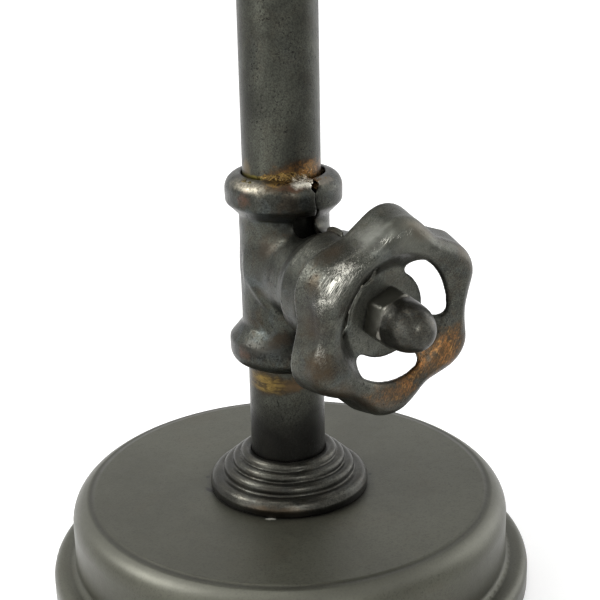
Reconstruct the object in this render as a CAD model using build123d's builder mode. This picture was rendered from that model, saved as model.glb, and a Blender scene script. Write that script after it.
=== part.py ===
from build123d import *

import os
from math import cos, degrees, radians, sin, tan

# Industrial pipe table lamp: a weighted round base, a pipe through a stamped tee, a handwheel that
# turns the switch in the tee's branch, a lampholder with its bulb, and a drum shade on a harp.
# Millimetres. +Z is up, the origin is the centre of the underside, the handwheel points to -Y.

# ---------------------------------------------------------------- driving dimensions

# fits and clearances
face_gap = 0.3            # between curved faces of neighbouring pieces
running_fit = 0.08        # radial play of the spindle and the rotor
thread_fit = 0.05         # radial play of a screwed joint

# base
felt_thickness = 1.5
felt_inset = 1.5          # the felt stops short of the lower tier's edge
plate_thickness = 1.5
base_height = 34.0        # flat top of the base above the table
base_sheet = 1.2
upper_tier_radius = 75.2
upper_tier_edge = 7.8     # rounding of the top edge
ledge_width = 7.8         # the lower tier stands out from the upper one
lower_tier_height = 10.5  # ledge above the table
lower_tier_edge = 3.5
ledge_root = 2.0          # rounding where the upper tier meets the ledge
weight_clearance = 9.0    # between the weight's rim and the shell
weight_height = 14.0
base_washer_radius = 16.0
base_washer_thickness = 2.0

# cord inlet at the back of the base
inlet_height = 19.4
grommet_radius = 5.0
grommet_flange_radius = 6.5
grommet_flange = 1.6
grommet_bore = 3.2
grommet_depth = 3.0

# stepped collar at the foot of the pipe, rings listed from the outside in
collar_foot_reach = 14.5  # reaches are measured out from the pipe's surface
ring_crest_reaches = (11.5, 7.8, 4.8, 2.2)
ring_crest_heights = (5.6, 9.1, 11.8, 14.0)
ring_bead_radii = (2.8, 2.0, 1.8, 1.6)
collar_relief_reach = 7.3
collar_relief_height = 2.5

# pipe
pipe_radius = 12.7
pipe_wall = 1.5
pipe_top = 380.0
plug_height = 12.0

# hollow threaded nipples, M10
nipple_radius = 5.0
nipple_bore = 3.4
nipple_nut_flats = 16.0
nipple_nut_height = 4.0
nipple_tail = 2.0         # thread showing past a nut

# tee in two stamped halves; it hangs a little off the pipe's axis and turned on it
tee_sheet = 1.2
tee_shift_x = 0.41
tee_shift_y = -0.28
tee_turn = -2.0           # degrees about +Z
tee_below = 34.15         # foot of the tee below the branch axis
tee_above = 30.15         # top of the tee above it
tee_play = 0.9            # between the pipe and the tee's bore
tee_foot_play = 0.6       # between the pipe and the hole it leaves through
tee_collar_step = 4.2     # the collars stand out from the body
tee_bend_round = 2.0      # rounding where a cone meets a band or the body
upper_lip_round = 5.0
upper_band = 4.3
upper_cone = 4.1
lower_lip_round = 4.6
lower_band = 4.1
lower_cone = 5.3
seam_hole_width = 2.2
seam_hole_height = 3.0
crotch_gap_width = 4.2
crotch_gap_height = 7.5

# branch of the tee, which droops a little towards its mouth
branch_height = 115.05    # where the branch axis crosses the pipe axis
branch_droop = 3.75       # degrees
branch_mouth = 37.5       # distance of the mouth from the pipe axis, along the branch
branch_collar_step = 3.3
branch_lip_round = 4.5
branch_band = 7.3
branch_cone = 5.8

# brazed bead between pipe and upper collar
braze_start = 188.0       # degrees from +X
braze_angle = 96.0
braze_height = 1.6
braze_clearance = 0.4     # between the bead and the mouth that it lies in

# rotary switch in the branch
switch_radius = 10.8
switch_length = 17.0
switch_wall = 1.6
switch_neck_length = 4.6
rotor_clearance = 1.8     # between the rotor and the housing's wall
rotor_length = 8.0
contact_width = 4.0
contact_thickness = 0.8
contact_length = 7.0
contact_spacing = 8.0
end_plate_inset = 2.1     # the plate is smaller than the branch's collar
end_plate_thickness = 1.5
ring_nut_radius = 8.5
ring_nut_thickness = 2.6

# spindle and what is on it
spindle_radius = 3.0
spindle_thread_radius = 5.0
shoulder_gap = 0.4        # start of the thread in front of the switch's neck
jam_nut_flats = 16.0
jam_nut_height = 4.5
hub_washer_radius = 10.0
hub_washer_thickness = 1.0

# handwheel
wheel_sheet = 1.2
wheel_lobes = 6
wheel_turn = -2.3         # degrees that the wheel stands turned at rest
wheel_lobe_reach = 35.2   # the outline is a polygon with rounded corners: corner at a lobe
wheel_lobe_round = 10.5
wheel_valley_reach = 27.4 # corner between two lobes
wheel_valley_round = 13.3
wheel_standoff = 24.05    # front of the rim in front of the branch's mouth
wheel_depth = 12.35       # rim front to the skirt's back edge
wheel_edge = 5.0          # rounding of the rim's outer edge
edge_land = 0.05          # straight left below the rounding
wheel_flare = 11.0        # degrees that the skirt opens towards its back
wheel_dish_radius = 22.6  # where the flat of the rim starts to fall to the hub
wheel_dish_round = 2.0
wheel_hub_radius = 13.8
wheel_hub_depth = 7.1     # hub face behind the rim front
opening_outer_radius = 19.6
opening_count = 3
opening_span = 78.0       # degrees, overall

# acorn nut
acorn_flats = 16.0
acorn_turn = 20.0         # degrees that the hexagon stands turned at rest
acorn_chamfer = 0.6
acorn_hex_height = 6.8
acorn_dome_radius = 7.75
acorn_height = 19.5
acorn_bore_depth = 10.5
acorn_end_gap = 1.0       # the spindle stops short of the bore's bottom

# top of the pipe
cap_overhang = 2.8        # the cap stands out from the pipe
cap_thickness = 6.0
cap_plug_depth = 10.0
cap_edge = 1.5
saddle_span = 56.0        # between the harp's two pegs
saddle_width = 13.0
saddle_strip = 1.6
saddle_boss_radius = 9.0
peg_height = 13.0
peg_radius = 2.2
peg_clearance = 0.05      # between a peg and its sleeve
check_nut_height = 3.0

# lampholder
socket_radius = 17.5
socket_wall = 0.8
socket_cap_height = 22.0
socket_shoulder = 8.0
socket_neck_radius = 9.0
socket_neck_round = 2.0
socket_shoulder_round = 5.0
socket_shell_height = 38.0
liner_wall = 0.7
core_height = 20.0
screw_shell_radius = 13.7
screw_shell_wall = 0.5
screw_shell_height = 26.0
contact_disc_radius = 4.0
contact_disc_height = 1.6

# bulb
bulb_thread_play = 0.6    # between the bulb's cap and the screw shell
bulb_cap_height = 24.0
bulb_tip_height = 3.0     # the tip contact stands out of the cap
bulb_neck_inset = 0.6     # the glass neck is smaller than the cap
bulb_globe_radius = 30.0
bulb_height = 106.0       # tip contact to crown
bulb_glass_wall = 1.0
bulb_neck_height = 16.0   # glass neck before it swells

# harp
harp_wire = 1.7           # radius of the wire
harp_height = 190.0       # saddle to stud seat
harp_half_width = 46.0
harp_corner = 30.0
harp_leg = 13.0           # straight wire above a peg
harp_spread = 26.0        # height over which the legs spread
harp_foot_round = 8.0
harp_shoulder_round = 20.0
sleeve_length = 14.0
sleeve_wall = 0.8
stud_radius = 3.1
stud_flange_radius = 7.0
stud_flange = 2.0
stud_length = 14.0

# shade
shade_radius = 150.0
shade_height = 215.0
shade_wall = 1.2
ring_wire = 1.6           # radius of the rings' wire
spider_drop = 14.0        # hub below the shade's top edge
spider_arms = 3
spider_arm_radius = 1.5
spider_hub_radius = 9.0
spider_hub_thickness = 1.6
binding_height = 9.0
binding_thickness = 0.5

# finial
finial_radius = 8.0
finial_height = 24.0
finial_foot_share = 0.8   # foot radius over body radius
finial_foot = 5.0
finial_flare = 5.0
finial_neck_radius = 5.0
finial_foot_round = 1.0
finial_neck_round = 1.5
finial_flare_round = 2.5
finial_crown_flat = 0.5

# internal leads
lead_radius = 2.2
lead_bend = 6.5           # turn from the pipe into the branch
inlet_bend = 4.8
foot_bend = 4.0
lead_slow_bend = 120.0
lead_sway = 18.0          # run over which a lead moves across the pipe
lead_side_inset = 1.2     # lead beside the middle of its contact
lead_entry = 4.0          # end of the upper lead inside the lampholder's core
lead_floor_gap = 1.3      # lead above the bottom plate

# ---------------------------------------------------------------- derived places

pipe_bore = pipe_radius - pipe_wall
lower_tier_radius = upper_tier_radius + ledge_width
weight_radius = upper_tier_radius - base_sheet - weight_clearance
weight_top = base_height - base_sheet
weight_bottom = weight_top - weight_height
base_washer_bottom = weight_bottom - base_washer_thickness
base_nut_bottom = base_washer_bottom - nipple_nut_height

tee_bottom = branch_height - tee_below
tee_top = branch_height + tee_above
tee_mouth_radius = pipe_radius + tee_play
tee_foot_radius = pipe_radius + tee_foot_play
tee_body_radius = tee_mouth_radius + tee_sheet
tee_collar_radius = tee_body_radius + tee_collar_step
branch_collar_radius = tee_body_radius + branch_collar_step
braze_radius = tee_mouth_radius - braze_clearance
end_plate_radius = branch_collar_radius - end_plate_inset

axis_direction = Vector(0, -cos(radians(branch_droop)), -sin(radians(branch_droop)))
branch_origin = Vector(0, 0, branch_height)
branch_plane = Plane(origin=branch_origin, x_dir=(1, 0, 0), z_dir=axis_direction)
branch_axis = Axis(branch_origin, axis_direction)
branch_profile = Plane(
    origin=branch_origin, x_dir=(1, 0, 0), z_dir=Vector(1, 0, 0).cross(axis_direction)
)

switch_front = branch_mouth
switch_back = switch_front - switch_length
plate_front = branch_mouth + end_plate_thickness
neck_front = plate_front + switch_neck_length
rotor_front = switch_front - switch_wall - face_gap
rotor_back = rotor_front - rotor_length
spindle_shoulder = neck_front + shoulder_gap

wheel_front = branch_mouth + wheel_standoff
hub_front = wheel_front - wheel_hub_depth
hub_back = hub_front - wheel_sheet
hub_washer_back = hub_back - hub_washer_thickness
jam_nut_back = hub_washer_back - jam_nut_height
spindle_end = hub_front + acorn_bore_depth - acorn_end_gap

cap_top = pipe_top + cap_thickness
saddle_top = cap_top + saddle_strip
check_nut_top = saddle_top + check_nut_height
socket_bottom = check_nut_top
core_bottom = socket_bottom + socket_shoulder
core_top = core_bottom + core_height
contact_top = core_top + contact_disc_height
bulb_tip = contact_top
bulb_glass_bottom = bulb_tip + bulb_cap_height
bulb_top = bulb_tip + bulb_height
bulb_cap_radius = screw_shell_radius - screw_shell_wall - bulb_thread_play
bulb_neck_radius = bulb_cap_radius - bulb_neck_inset

harp_seat = saddle_top + harp_height
hub_bottom = harp_seat + stud_flange
hub_top = hub_bottom + spider_hub_thickness
shade_top = hub_bottom + spider_drop
shade_bottom = shade_top - shade_height


# ---------------------------------------------------------------- shared shapes


def disc(plane, start, thickness, radius, bore=0.0):
    """A plain disc, washer or tube: along the plane's normal, from start."""
    with BuildPart() as piece:
        with BuildSketch(plane.offset(start)):
            Circle(radius)
            if bore > 0:
                Circle(bore, mode=Mode.SUBTRACT)
        extrude(amount=thickness)
    return piece


def hex_nut(plane, start, height, across_flats, bore, turn=0.0):
    """A hexagon nut with a plain bore."""
    with BuildPart() as piece:
        with BuildSketch(plane.offset(start)):
            RegularPolygon(across_flats / 2, 6, major_radius=False, rotation=turn)
            Circle(bore, mode=Mode.SUBTRACT)
        extrude(amount=height)
    return piece


def turned(points, corners, plane=Plane.XZ, axis=Axis.Z):
    """A solid of revolution: a closed outline of (radius, height) points with corner radii."""
    with BuildPart() as piece:
        with BuildSketch(plane):
            with BuildLine():
                FilletPolyline(*points, radius=corners, close=True)
            make_face()
        revolve(axis=axis)
    return piece


def wire_ring(radius, height, wire):
    """A round wire bent to a ring around the lamp's axis."""
    with BuildPart() as piece:
        with BuildSketch(Plane.XZ):
            with Locations((radius, height)):
                Circle(wire)
        revolve(axis=Axis.Z)
    return piece


# ---------------------------------------------------------------- base

felt_pad = disc(Plane.XY, 0, felt_thickness, lower_tier_radius - felt_inset)

bottom_plate_radius = lower_tier_radius - base_sheet - face_gap
bottom_plate = disc(Plane.XY, felt_thickness, plate_thickness, bottom_plate_radius)


def dish(inset):
    """The base's outer form, moved inwards by inset, closed down to the felt."""
    upper = upper_tier_radius - inset
    lower = lower_tier_radius - inset
    ledge = lower_tier_height - inset
    top = base_height - inset
    return turned(
        (
            (0, felt_thickness),
            (lower, felt_thickness),
            (lower, ledge),
            (upper, ledge),
            (upper, top),
            (0, top),
        ),
        (0, 0, lower_tier_edge - inset, ledge_root + inset, upper_tier_edge - inset, 0),
    )


dish_inside = dish(base_sheet)

with BuildPart() as base_shell:
    add(dish(0).part)
    add(dish_inside.part, mode=Mode.SUBTRACT)
    with BuildSketch(Plane.XY.offset(base_height)):
        Circle(nipple_radius + thread_fit)
    extrude(amount=-2 * base_sheet, mode=Mode.SUBTRACT)
    with BuildSketch(Plane.XZ.offset(-upper_tier_radius - grommet_flange)):
        with Locations((0, inlet_height)):
            Circle(grommet_radius)
    extrude(amount=2 * grommet_depth, mode=Mode.SUBTRACT)

base_weight = disc(Plane.XY, weight_bottom, weight_height, weight_radius, nipple_radius + face_gap)
base_washer = disc(
    Plane.XY, base_washer_bottom, base_washer_thickness, base_washer_radius, nipple_radius + thread_fit
)
base_lock_nut = hex_nut(Plane.XY, base_nut_bottom, nipple_nut_height, nipple_nut_flats, nipple_radius)

inlet_axis = Axis((0, 0, inlet_height), (0, 1, 0))
inlet_profile = Plane(origin=(0, 0, inlet_height), x_dir=(1, 0, 0), z_dir=(0, 0, 1))
cord_grommet = turned(
    (
        (grommet_bore, upper_tier_radius - grommet_depth),
        (grommet_radius, upper_tier_radius - grommet_depth),
        (grommet_radius, upper_tier_radius),
        (grommet_flange_radius, upper_tier_radius),
        (grommet_flange_radius, upper_tier_radius + grommet_flange),
        (grommet_bore, upper_tier_radius + grommet_flange),
    ),
    (0, 0, 0, 0, grommet_flange / 2, grommet_flange / 3),
    plane=inlet_profile,
    axis=inlet_axis,
)

# ---------------------------------------------------------------- stepped collar

collar_bore = pipe_radius + face_gap
collar_foot_radius = pipe_radius + collar_foot_reach
ring_crest_radii = tuple(pipe_radius + reach for reach in ring_crest_reaches)
collar_top = base_height + ring_crest_heights[-1]

with BuildPart() as stepped_collar:
    with BuildSketch(Plane.XZ):
        # the cone that carries the rings
        with BuildLine():
            Polyline(
                (collar_bore, base_height),
                (collar_foot_radius, base_height),
                (collar_foot_radius, base_height + ring_crest_heights[0] - ring_bead_radii[0]),
                (ring_crest_radii[0], base_height + ring_crest_heights[0] - ring_bead_radii[0] / 2),
                (ring_crest_radii[-1], collar_top - ring_bead_radii[-1]),
                (collar_bore, collar_top - ring_bead_radii[-1]),
                close=True,
            )
        make_face()
        for radius, height, bead in zip(ring_crest_radii, ring_crest_heights, ring_bead_radii):
            with Locations((radius, base_height + height - bead)):
                Circle(bead)
        with BuildLine():
            Polyline(
                (0, 0),
                (collar_foot_radius, 0),
                (collar_foot_radius, base_height),
                (collar_bore, base_height),
                (collar_bore, 2 * collar_top),
                (0, 2 * collar_top),
                close=True,
            )
        make_face(mode=Mode.SUBTRACT)
    revolve(axis=Axis.Z)
    with BuildSketch(Plane.XY.offset(base_height)):
        Circle(pipe_radius + collar_relief_reach)
    extrude(amount=collar_relief_height, mode=Mode.SUBTRACT)

# ---------------------------------------------------------------- pipe

pipe_bottom = base_height
lead_side = contact_spacing / 2 - lead_side_inset
lead_hole_radius = lead_side + lead_radius + 2 * face_gap

with BuildPart() as stem_pipe:
    with BuildSketch(Plane.XY.offset(pipe_bottom)):
        Circle(pipe_radius)
        Circle(pipe_bore, mode=Mode.SUBTRACT)
    extrude(amount=pipe_top - pipe_bottom)
    with BuildSketch(branch_plane):
        Circle(lead_hole_radius)
    extrude(amount=2 * pipe_radius, mode=Mode.SUBTRACT)

stem_foot_plug = disc(Plane.XY, pipe_bottom, plug_height, pipe_bore, nipple_radius)
base_nipple_bottom = base_nut_bottom - nipple_tail
base_nipple = disc(
    Plane.XY, base_nipple_bottom, pipe_bottom + plug_height - base_nipple_bottom, nipple_radius, nipple_bore
)

# ---------------------------------------------------------------- tee


tee_side = Vector(cos(radians(tee_turn)), sin(radians(tee_turn)), 0)
tee_front = Vector(sin(radians(tee_turn)), -cos(radians(tee_turn)), 0)
tee_foot = Vector(tee_shift_x, tee_shift_y, 0)
tee_profile = Plane(origin=tee_foot, x_dir=tee_side, z_dir=tee_front)
tee_floor = Plane(origin=tee_foot, x_dir=tee_side, z_dir=(0, 0, 1))
tee_seam = Plane(origin=tee_foot, x_dir=tee_front, z_dir=tee_side)

tee_branch_start = tee_foot + branch_origin
tee_branch_direction = tee_front * cos(radians(branch_droop)) - Vector(0, 0, sin(radians(branch_droop)))
tee_branch_plane = Plane(origin=tee_branch_start, x_dir=tee_side, z_dir=tee_branch_direction)
tee_branch_profile = Plane(
    origin=tee_branch_start, x_dir=tee_side, z_dir=tee_side.cross(tee_branch_direction)
)


def tee_form(inset):
    """Outer form of the tee, or its hollow when it is moved inwards by inset."""
    bottom = tee_bottom + inset
    top = tee_top - inset
    mouth = branch_mouth - inset
    body = tee_body_radius - inset
    collar = tee_collar_radius - inset
    branch_collar = branch_collar_radius - inset
    lower_band_top = tee_bottom + lower_lip_round + lower_band
    upper_band_bottom = tee_top - upper_lip_round - upper_band
    branch_band_start = branch_mouth - branch_lip_round - branch_band
    run = turned(
        (
            (0, bottom),
            (collar, bottom),
            (collar, lower_band_top),
            (body, lower_band_top + lower_cone),
            (body, upper_band_bottom - upper_cone),
            (collar, upper_band_bottom),
            (collar, top),
            (0, top),
        ),
        (
            0,
            lower_lip_round - inset,
            tee_bend_round,
            tee_bend_round,
            tee_bend_round,
            tee_bend_round,
            upper_lip_round - inset,
            0,
        ),
        plane=tee_profile,
        axis=Axis(tee_foot, (0, 0, 1)),
    )
    branch = turned(
        (
            (0, 0),
            (body, 0),
            (body, branch_band_start - branch_cone),
            (branch_collar, branch_band_start),
            (branch_collar, mouth),
            (0, mouth),
        ),
        (0, 0, tee_bend_round, tee_bend_round, branch_lip_round - inset, 0),
        plane=tee_branch_profile,
        axis=Axis(tee_branch_start, tee_branch_direction),
    )
    with BuildPart() as form:
        add(run.part)
        add(branch.part)
    return form


tee_hollow = tee_form(tee_sheet)

with BuildPart() as tee:
    add(tee_form(0).part)
    add(tee_hollow.part, mode=Mode.SUBTRACT)
    with BuildSketch(tee_floor.offset(tee_bottom)):
        Circle(tee_foot_radius)
    extrude(amount=2 * tee_sheet, mode=Mode.SUBTRACT)
    with BuildSketch(tee_floor.offset(tee_top)):
        Circle(tee_mouth_radius)
    extrude(amount=-2 * tee_sheet, mode=Mode.SUBTRACT)
    with BuildSketch(tee_branch_plane.offset(branch_mouth)):
        Circle(tee_mouth_radius)
    extrude(amount=-2 * tee_sheet, mode=Mode.SUBTRACT)
    # the branch's lip is faced square to the end plate
    with BuildSketch(branch_plane.offset(branch_mouth)):
        Circle(2 * branch_collar_radius)
    extrude(amount=branch_collar_radius, mode=Mode.SUBTRACT)

with BuildPart() as tee_right_half:
    add(tee.part)
    split(bisect_by=tee_seam, keep=Keep.TOP)

with BuildPart() as tee_left_half:
    add(tee.part)
    split(bisect_by=tee_seam, keep=Keep.BOTTOM)
    # small hole beside the seam, on the rounding of the upper collar
    with BuildSketch(tee_profile.offset(tee_collar_radius - upper_lip_round)):
        with Locations((0, tee_top - upper_lip_round / 2)):
            Rectangle(seam_hole_width, seam_hole_height)
    extrude(amount=upper_lip_round + tee_sheet, mode=Mode.SUBTRACT)
    # torn opening in the crotch between body and branch
    with BuildSketch(tee_profile.offset(tee_body_radius - 2 * tee_sheet)):
        with Locations((0, branch_height + tee_body_radius)):
            Rectangle(2 * crotch_gap_width, crotch_gap_height)
    extrude(amount=crotch_gap_width + tee_sheet, mode=Mode.SUBTRACT)

braze_heading = radians(braze_start)
braze_plane = Plane(
    origin=(0, 0, 0),
    x_dir=(cos(braze_heading), sin(braze_heading), 0),
    z_dir=(sin(braze_heading), -cos(braze_heading), 0),
)

with BuildPart() as braze_bead:
    with BuildSketch(braze_plane):
        with BuildLine():
            Polyline(
                (pipe_radius, tee_top - tee_sheet),
                (braze_radius, tee_top - tee_sheet),
                (braze_radius, tee_top),
                (pipe_radius, tee_top + braze_height),
                close=True,
            )
        make_face()
    revolve(axis=Axis.Z, revolution_arc=braze_angle)

# ---------------------------------------------------------------- rotary switch

switch_bore = switch_radius - switch_wall
rotor_radius = switch_bore - rotor_clearance
cover_thickness = switch_wall

with BuildPart() as switch_housing:
    with BuildSketch(branch_plane.offset(switch_back + cover_thickness)):
        Circle(switch_radius)
    extrude(amount=switch_length - cover_thickness)
    with BuildSketch(branch_plane.offset(switch_front)):
        Circle(nipple_radius)
    extrude(amount=neck_front - switch_front)
    with BuildSketch(branch_plane.offset(switch_back)):
        Circle(switch_bore)
    extrude(amount=switch_length - switch_wall, mode=Mode.SUBTRACT)
    with BuildSketch(branch_plane.offset(switch_back)):
        Circle(spindle_radius + running_fit)
    extrude(amount=neck_front - switch_back, mode=Mode.SUBTRACT)

switch_rear_cover = disc(branch_plane, switch_back, cover_thickness, switch_radius)

with BuildPart() as switch_contacts:
    with BuildSketch(branch_plane.offset(switch_back - contact_length)):
        with GridLocations(contact_spacing, 0, 2, 1):
            Rectangle(contact_width, contact_thickness)
    extrude(amount=contact_length)

switch_rotor = disc(branch_plane, rotor_back, rotor_length, rotor_radius, spindle_radius)
branch_end_plate = disc(
    branch_plane, branch_mouth, end_plate_thickness, end_plate_radius, nipple_radius + thread_fit
)
switch_ring_nut = hex_nut(
    branch_plane, plate_front, ring_nut_thickness, 2 * ring_nut_radius, nipple_radius, wheel_turn
)

# ---------------------------------------------------------------- spindle and handwheel

with BuildPart() as valve_spindle:
    with BuildSketch(branch_plane.offset(rotor_back)):
        Circle(spindle_radius)
    extrude(amount=spindle_shoulder - rotor_back)
    with BuildSketch(branch_plane.offset(spindle_shoulder)):
        Circle(spindle_thread_radius)
    extrude(amount=spindle_end - spindle_shoulder)

hub_jam_nut = hex_nut(
    branch_plane, jam_nut_back, jam_nut_height, jam_nut_flats, spindle_thread_radius, wheel_turn
)
hub_washer = disc(
    branch_plane, hub_washer_back, hub_washer_thickness, hub_washer_radius, spindle_thread_radius
)


def lobed_face(plane, inset):
    """The wheel's outline as a face, moved inwards by inset."""
    corners = []
    radii = []
    pitch = 360 / wheel_lobes
    for lobe in range(wheel_lobes):
        for angle, reach, rounding in (
            (pitch * lobe, wheel_valley_reach, wheel_valley_round),
            (pitch * (lobe + 0.5), wheel_lobe_reach, wheel_lobe_round),
        ):
            heading = radians(angle + wheel_turn)
            corners.append((reach * cos(heading), reach * sin(heading)))
            radii.append(rounding)
    with BuildSketch(plane) as face:
        with BuildLine():
            FilletPolyline(*corners, radius=radii, close=True)
        make_face()
        if inset != 0:
            offset(amount=-inset, kind=Kind.ARC)
    return face


def wheel_form(inset, overrun=0.0):
    """The wheel's bulk without its dish: a lobed flared skirt and a rounded front edge."""
    skirt = wheel_depth - wheel_edge
    straight = wheel_front - wheel_edge
    edge = wheel_edge - inset
    flare = skirt * tan(radians(wheel_flare))
    skirt_end = lobed_face(branch_plane.offset(straight - skirt - overrun), inset - flare)
    skirt_start = lobed_face(branch_plane.offset(straight), inset)
    with BuildPart() as form:
        loft(sections=[skirt_end.sketch, skirt_start.sketch], ruled=True)
        extrude(skirt_start.sketch, amount=edge)
        fillet(form.faces().sort_by(branch_axis)[-1].edges(), edge - edge_land)
    return form


def wheel_dish(inset):
    """What the dish takes out of the front: down the spokes to the hub face."""
    front = wheel_front - inset
    hub = hub_front - inset
    return turned(
        (
            (0, hub),
            (wheel_hub_radius, hub),
            (wheel_dish_radius, front),
            (wheel_dish_radius, front + wheel_depth),
            (0, front + wheel_depth),
        ),
        (0, wheel_dish_round, wheel_dish_round, 0, 0),
        plane=branch_profile,
        axis=branch_axis,
    )


wheel_front_dish = wheel_dish(0)
wheel_back_dish = wheel_dish(wheel_sheet)

with BuildPart() as wheel_hollow:
    add(wheel_form(wheel_sheet, overrun=wheel_sheet).part)
    add(wheel_back_dish.part, mode=Mode.SUBTRACT)

opening_radius = (wheel_hub_radius + opening_outer_radius) / 2
opening_width = opening_outer_radius - wheel_hub_radius
opening_sweep = opening_span - degrees(opening_width / opening_radius)
first_opening = 180 / wheel_lobes + wheel_turn

with BuildPart() as handwheel:
    add(wheel_form(0).part)
    add(wheel_front_dish.part, mode=Mode.SUBTRACT)
    add(wheel_hollow.part, mode=Mode.SUBTRACT)
    with BuildSketch(branch_plane.offset(jam_nut_back)):
        for opening in range(opening_count):
            middle = first_opening + 360 / opening_count * opening
            with BuildLine(mode=Mode.PRIVATE) as slot_line:
                CenterArc((0, 0), opening_radius, middle - opening_sweep / 2, opening_sweep)
            SlotArc(slot_line.wire(), opening_width)
        Circle(spindle_thread_radius + thread_fit)
    extrude(amount=wheel_front - jam_nut_back, mode=Mode.SUBTRACT)

# ---------------------------------------------------------------- acorn nut

dome_centre = hub_front + acorn_height - acorn_dome_radius

with BuildPart() as acorn_nut:
    with BuildSketch(branch_plane.offset(hub_front)):
        RegularPolygon(acorn_flats / 2, 6, major_radius=False, rotation=acorn_turn)
    extrude(amount=acorn_hex_height)
    chamfer(acorn_nut.faces().sort_by(branch_axis)[-1].edges(), acorn_chamfer)
    with BuildSketch(branch_plane.offset(hub_front)):
        Circle(acorn_dome_radius)
    extrude(amount=dome_centre - hub_front)
    with BuildSketch(branch_profile):
        with Locations((0, dome_centre)):
            Circle(acorn_dome_radius)
            Rectangle(
                acorn_dome_radius,
                2 * acorn_dome_radius,
                align=(Align.MAX, Align.CENTER),
                mode=Mode.SUBTRACT,
            )
    revolve(axis=branch_axis)
    with BuildSketch(branch_plane.offset(hub_front)):
        Circle(spindle_thread_radius)
    extrude(amount=acorn_bore_depth, mode=Mode.SUBTRACT)

# ---------------------------------------------------------------- top of the pipe

cap_radius = pipe_radius + cap_overhang

with BuildPart() as stem_cap:
    with BuildSketch(Plane.XY.offset(pipe_top)):
        Circle(cap_radius)
    extrude(amount=cap_thickness)
    fillet(stem_cap.edges().group_by(Axis.Z)[-1], cap_edge)
    with BuildSketch(Plane.XY.offset(pipe_top)):
        Circle(pipe_bore)
    extrude(amount=-cap_plug_depth)
    with BuildSketch(Plane.XY.offset(pipe_top - cap_plug_depth)):
        Circle(nipple_radius)
    extrude(amount=cap_thickness + cap_plug_depth, mode=Mode.SUBTRACT)

top_nipple_bottom = pipe_top - cap_plug_depth
top_nipple = disc(
    Plane.XY,
    top_nipple_bottom,
    socket_bottom + socket_wall + nipple_tail - top_nipple_bottom,
    nipple_radius,
    nipple_bore,
)

with BuildPart() as harp_saddle:
    with BuildSketch(Plane.XY.offset(cap_top)):
        Rectangle(saddle_span + saddle_width, saddle_width)
        Circle(saddle_boss_radius)
        Circle(nipple_radius + thread_fit, mode=Mode.SUBTRACT)
    extrude(amount=saddle_strip)
    with BuildSketch(Plane.XY.offset(saddle_top)):
        with GridLocations(saddle_span, 0, 2, 1):
            Circle(peg_radius)
    extrude(amount=peg_height)

saddle_check_nut = hex_nut(Plane.XY, saddle_top, check_nut_height, nipple_nut_flats, nipple_radius)

# ---------------------------------------------------------------- lampholder

socket_joint = socket_bottom + socket_cap_height


def socket_cap_form(inset):
    """Domed cap of the lampholder, open at its top."""
    bottom = socket_bottom + inset
    rim = socket_radius - inset
    return turned(
        (
            (0, bottom),
            (socket_neck_radius, bottom),
            (rim, bottom + socket_shoulder),
            (rim, socket_joint),
            (0, socket_joint),
        ),
        (0, socket_neck_round, socket_shoulder_round, 0, 0),
    )


socket_cap_inside = socket_cap_form(socket_wall)

with BuildPart() as socket_cap:
    add(socket_cap_form(0).part)
    add(socket_cap_inside.part, mode=Mode.SUBTRACT)
    with BuildSketch(Plane.XY.offset(socket_bottom)):
        Circle(nipple_radius + thread_fit)
    extrude(amount=2 * socket_wall, mode=Mode.SUBTRACT)

socket_shell = disc(Plane.XY, socket_joint, socket_shell_height, socket_radius, socket_radius - socket_wall)
liner_radius = socket_radius - socket_wall - face_gap / 2
socket_liner = disc(Plane.XY, socket_joint, socket_shell_height, liner_radius, liner_radius - liner_wall)
core_radius = liner_radius - liner_wall - face_gap / 2
socket_core = disc(Plane.XY, core_bottom, core_height, core_radius, nipple_bore)
screw_shell = disc(
    Plane.XY, core_top, screw_shell_height, screw_shell_radius, screw_shell_radius - screw_shell_wall
)
centre_contact = disc(Plane.XY, core_top, contact_disc_height, contact_disc_radius)

# ---------------------------------------------------------------- bulb

bulb_contact = disc(Plane.XY, bulb_tip, bulb_tip_height, contact_disc_radius)
bulb_cap = disc(
    Plane.XY,
    bulb_tip + bulb_tip_height,
    bulb_cap_height - bulb_tip_height,
    bulb_cap_radius,
    contact_disc_radius,
)


def bulb_form(inset):
    """Pear-shaped bulb: neck, flank and globe."""
    globe = bulb_globe_radius - inset
    globe_height = bulb_top - bulb_globe_radius
    neck = bulb_neck_radius - inset
    flank_end = bulb_glass_bottom + bulb_neck_height
    with BuildPart() as form:
        with BuildSketch(Plane.XZ):
            with BuildLine():
                Line((0, bulb_glass_bottom + inset), (neck, bulb_glass_bottom + inset))
                Line((neck, bulb_glass_bottom + inset), (neck, flank_end))
                Spline(
                    (neck, flank_end),
                    (globe, globe_height),
                    tangents=((0, 1), (0, 1)),
                    tangent_scalars=(1, 1),
                )
                RadiusArc((globe, globe_height), (0, globe_height + globe), -globe)
                Line((0, globe_height + globe), (0, bulb_glass_bottom + inset))
            make_face()
        revolve(axis=Axis.Z)
    return form


bulb_inside = bulb_form(bulb_glass_wall)

with BuildPart() as bulb_glass:
    add(bulb_form(0).part)
    add(bulb_inside.part, mode=Mode.SUBTRACT)

# ---------------------------------------------------------------- harp

sleeve_bore = peg_radius + peg_clearance
half_saddle = saddle_span / 2
peg_top = saddle_top + peg_height
leg_top = peg_top + harp_leg

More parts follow.
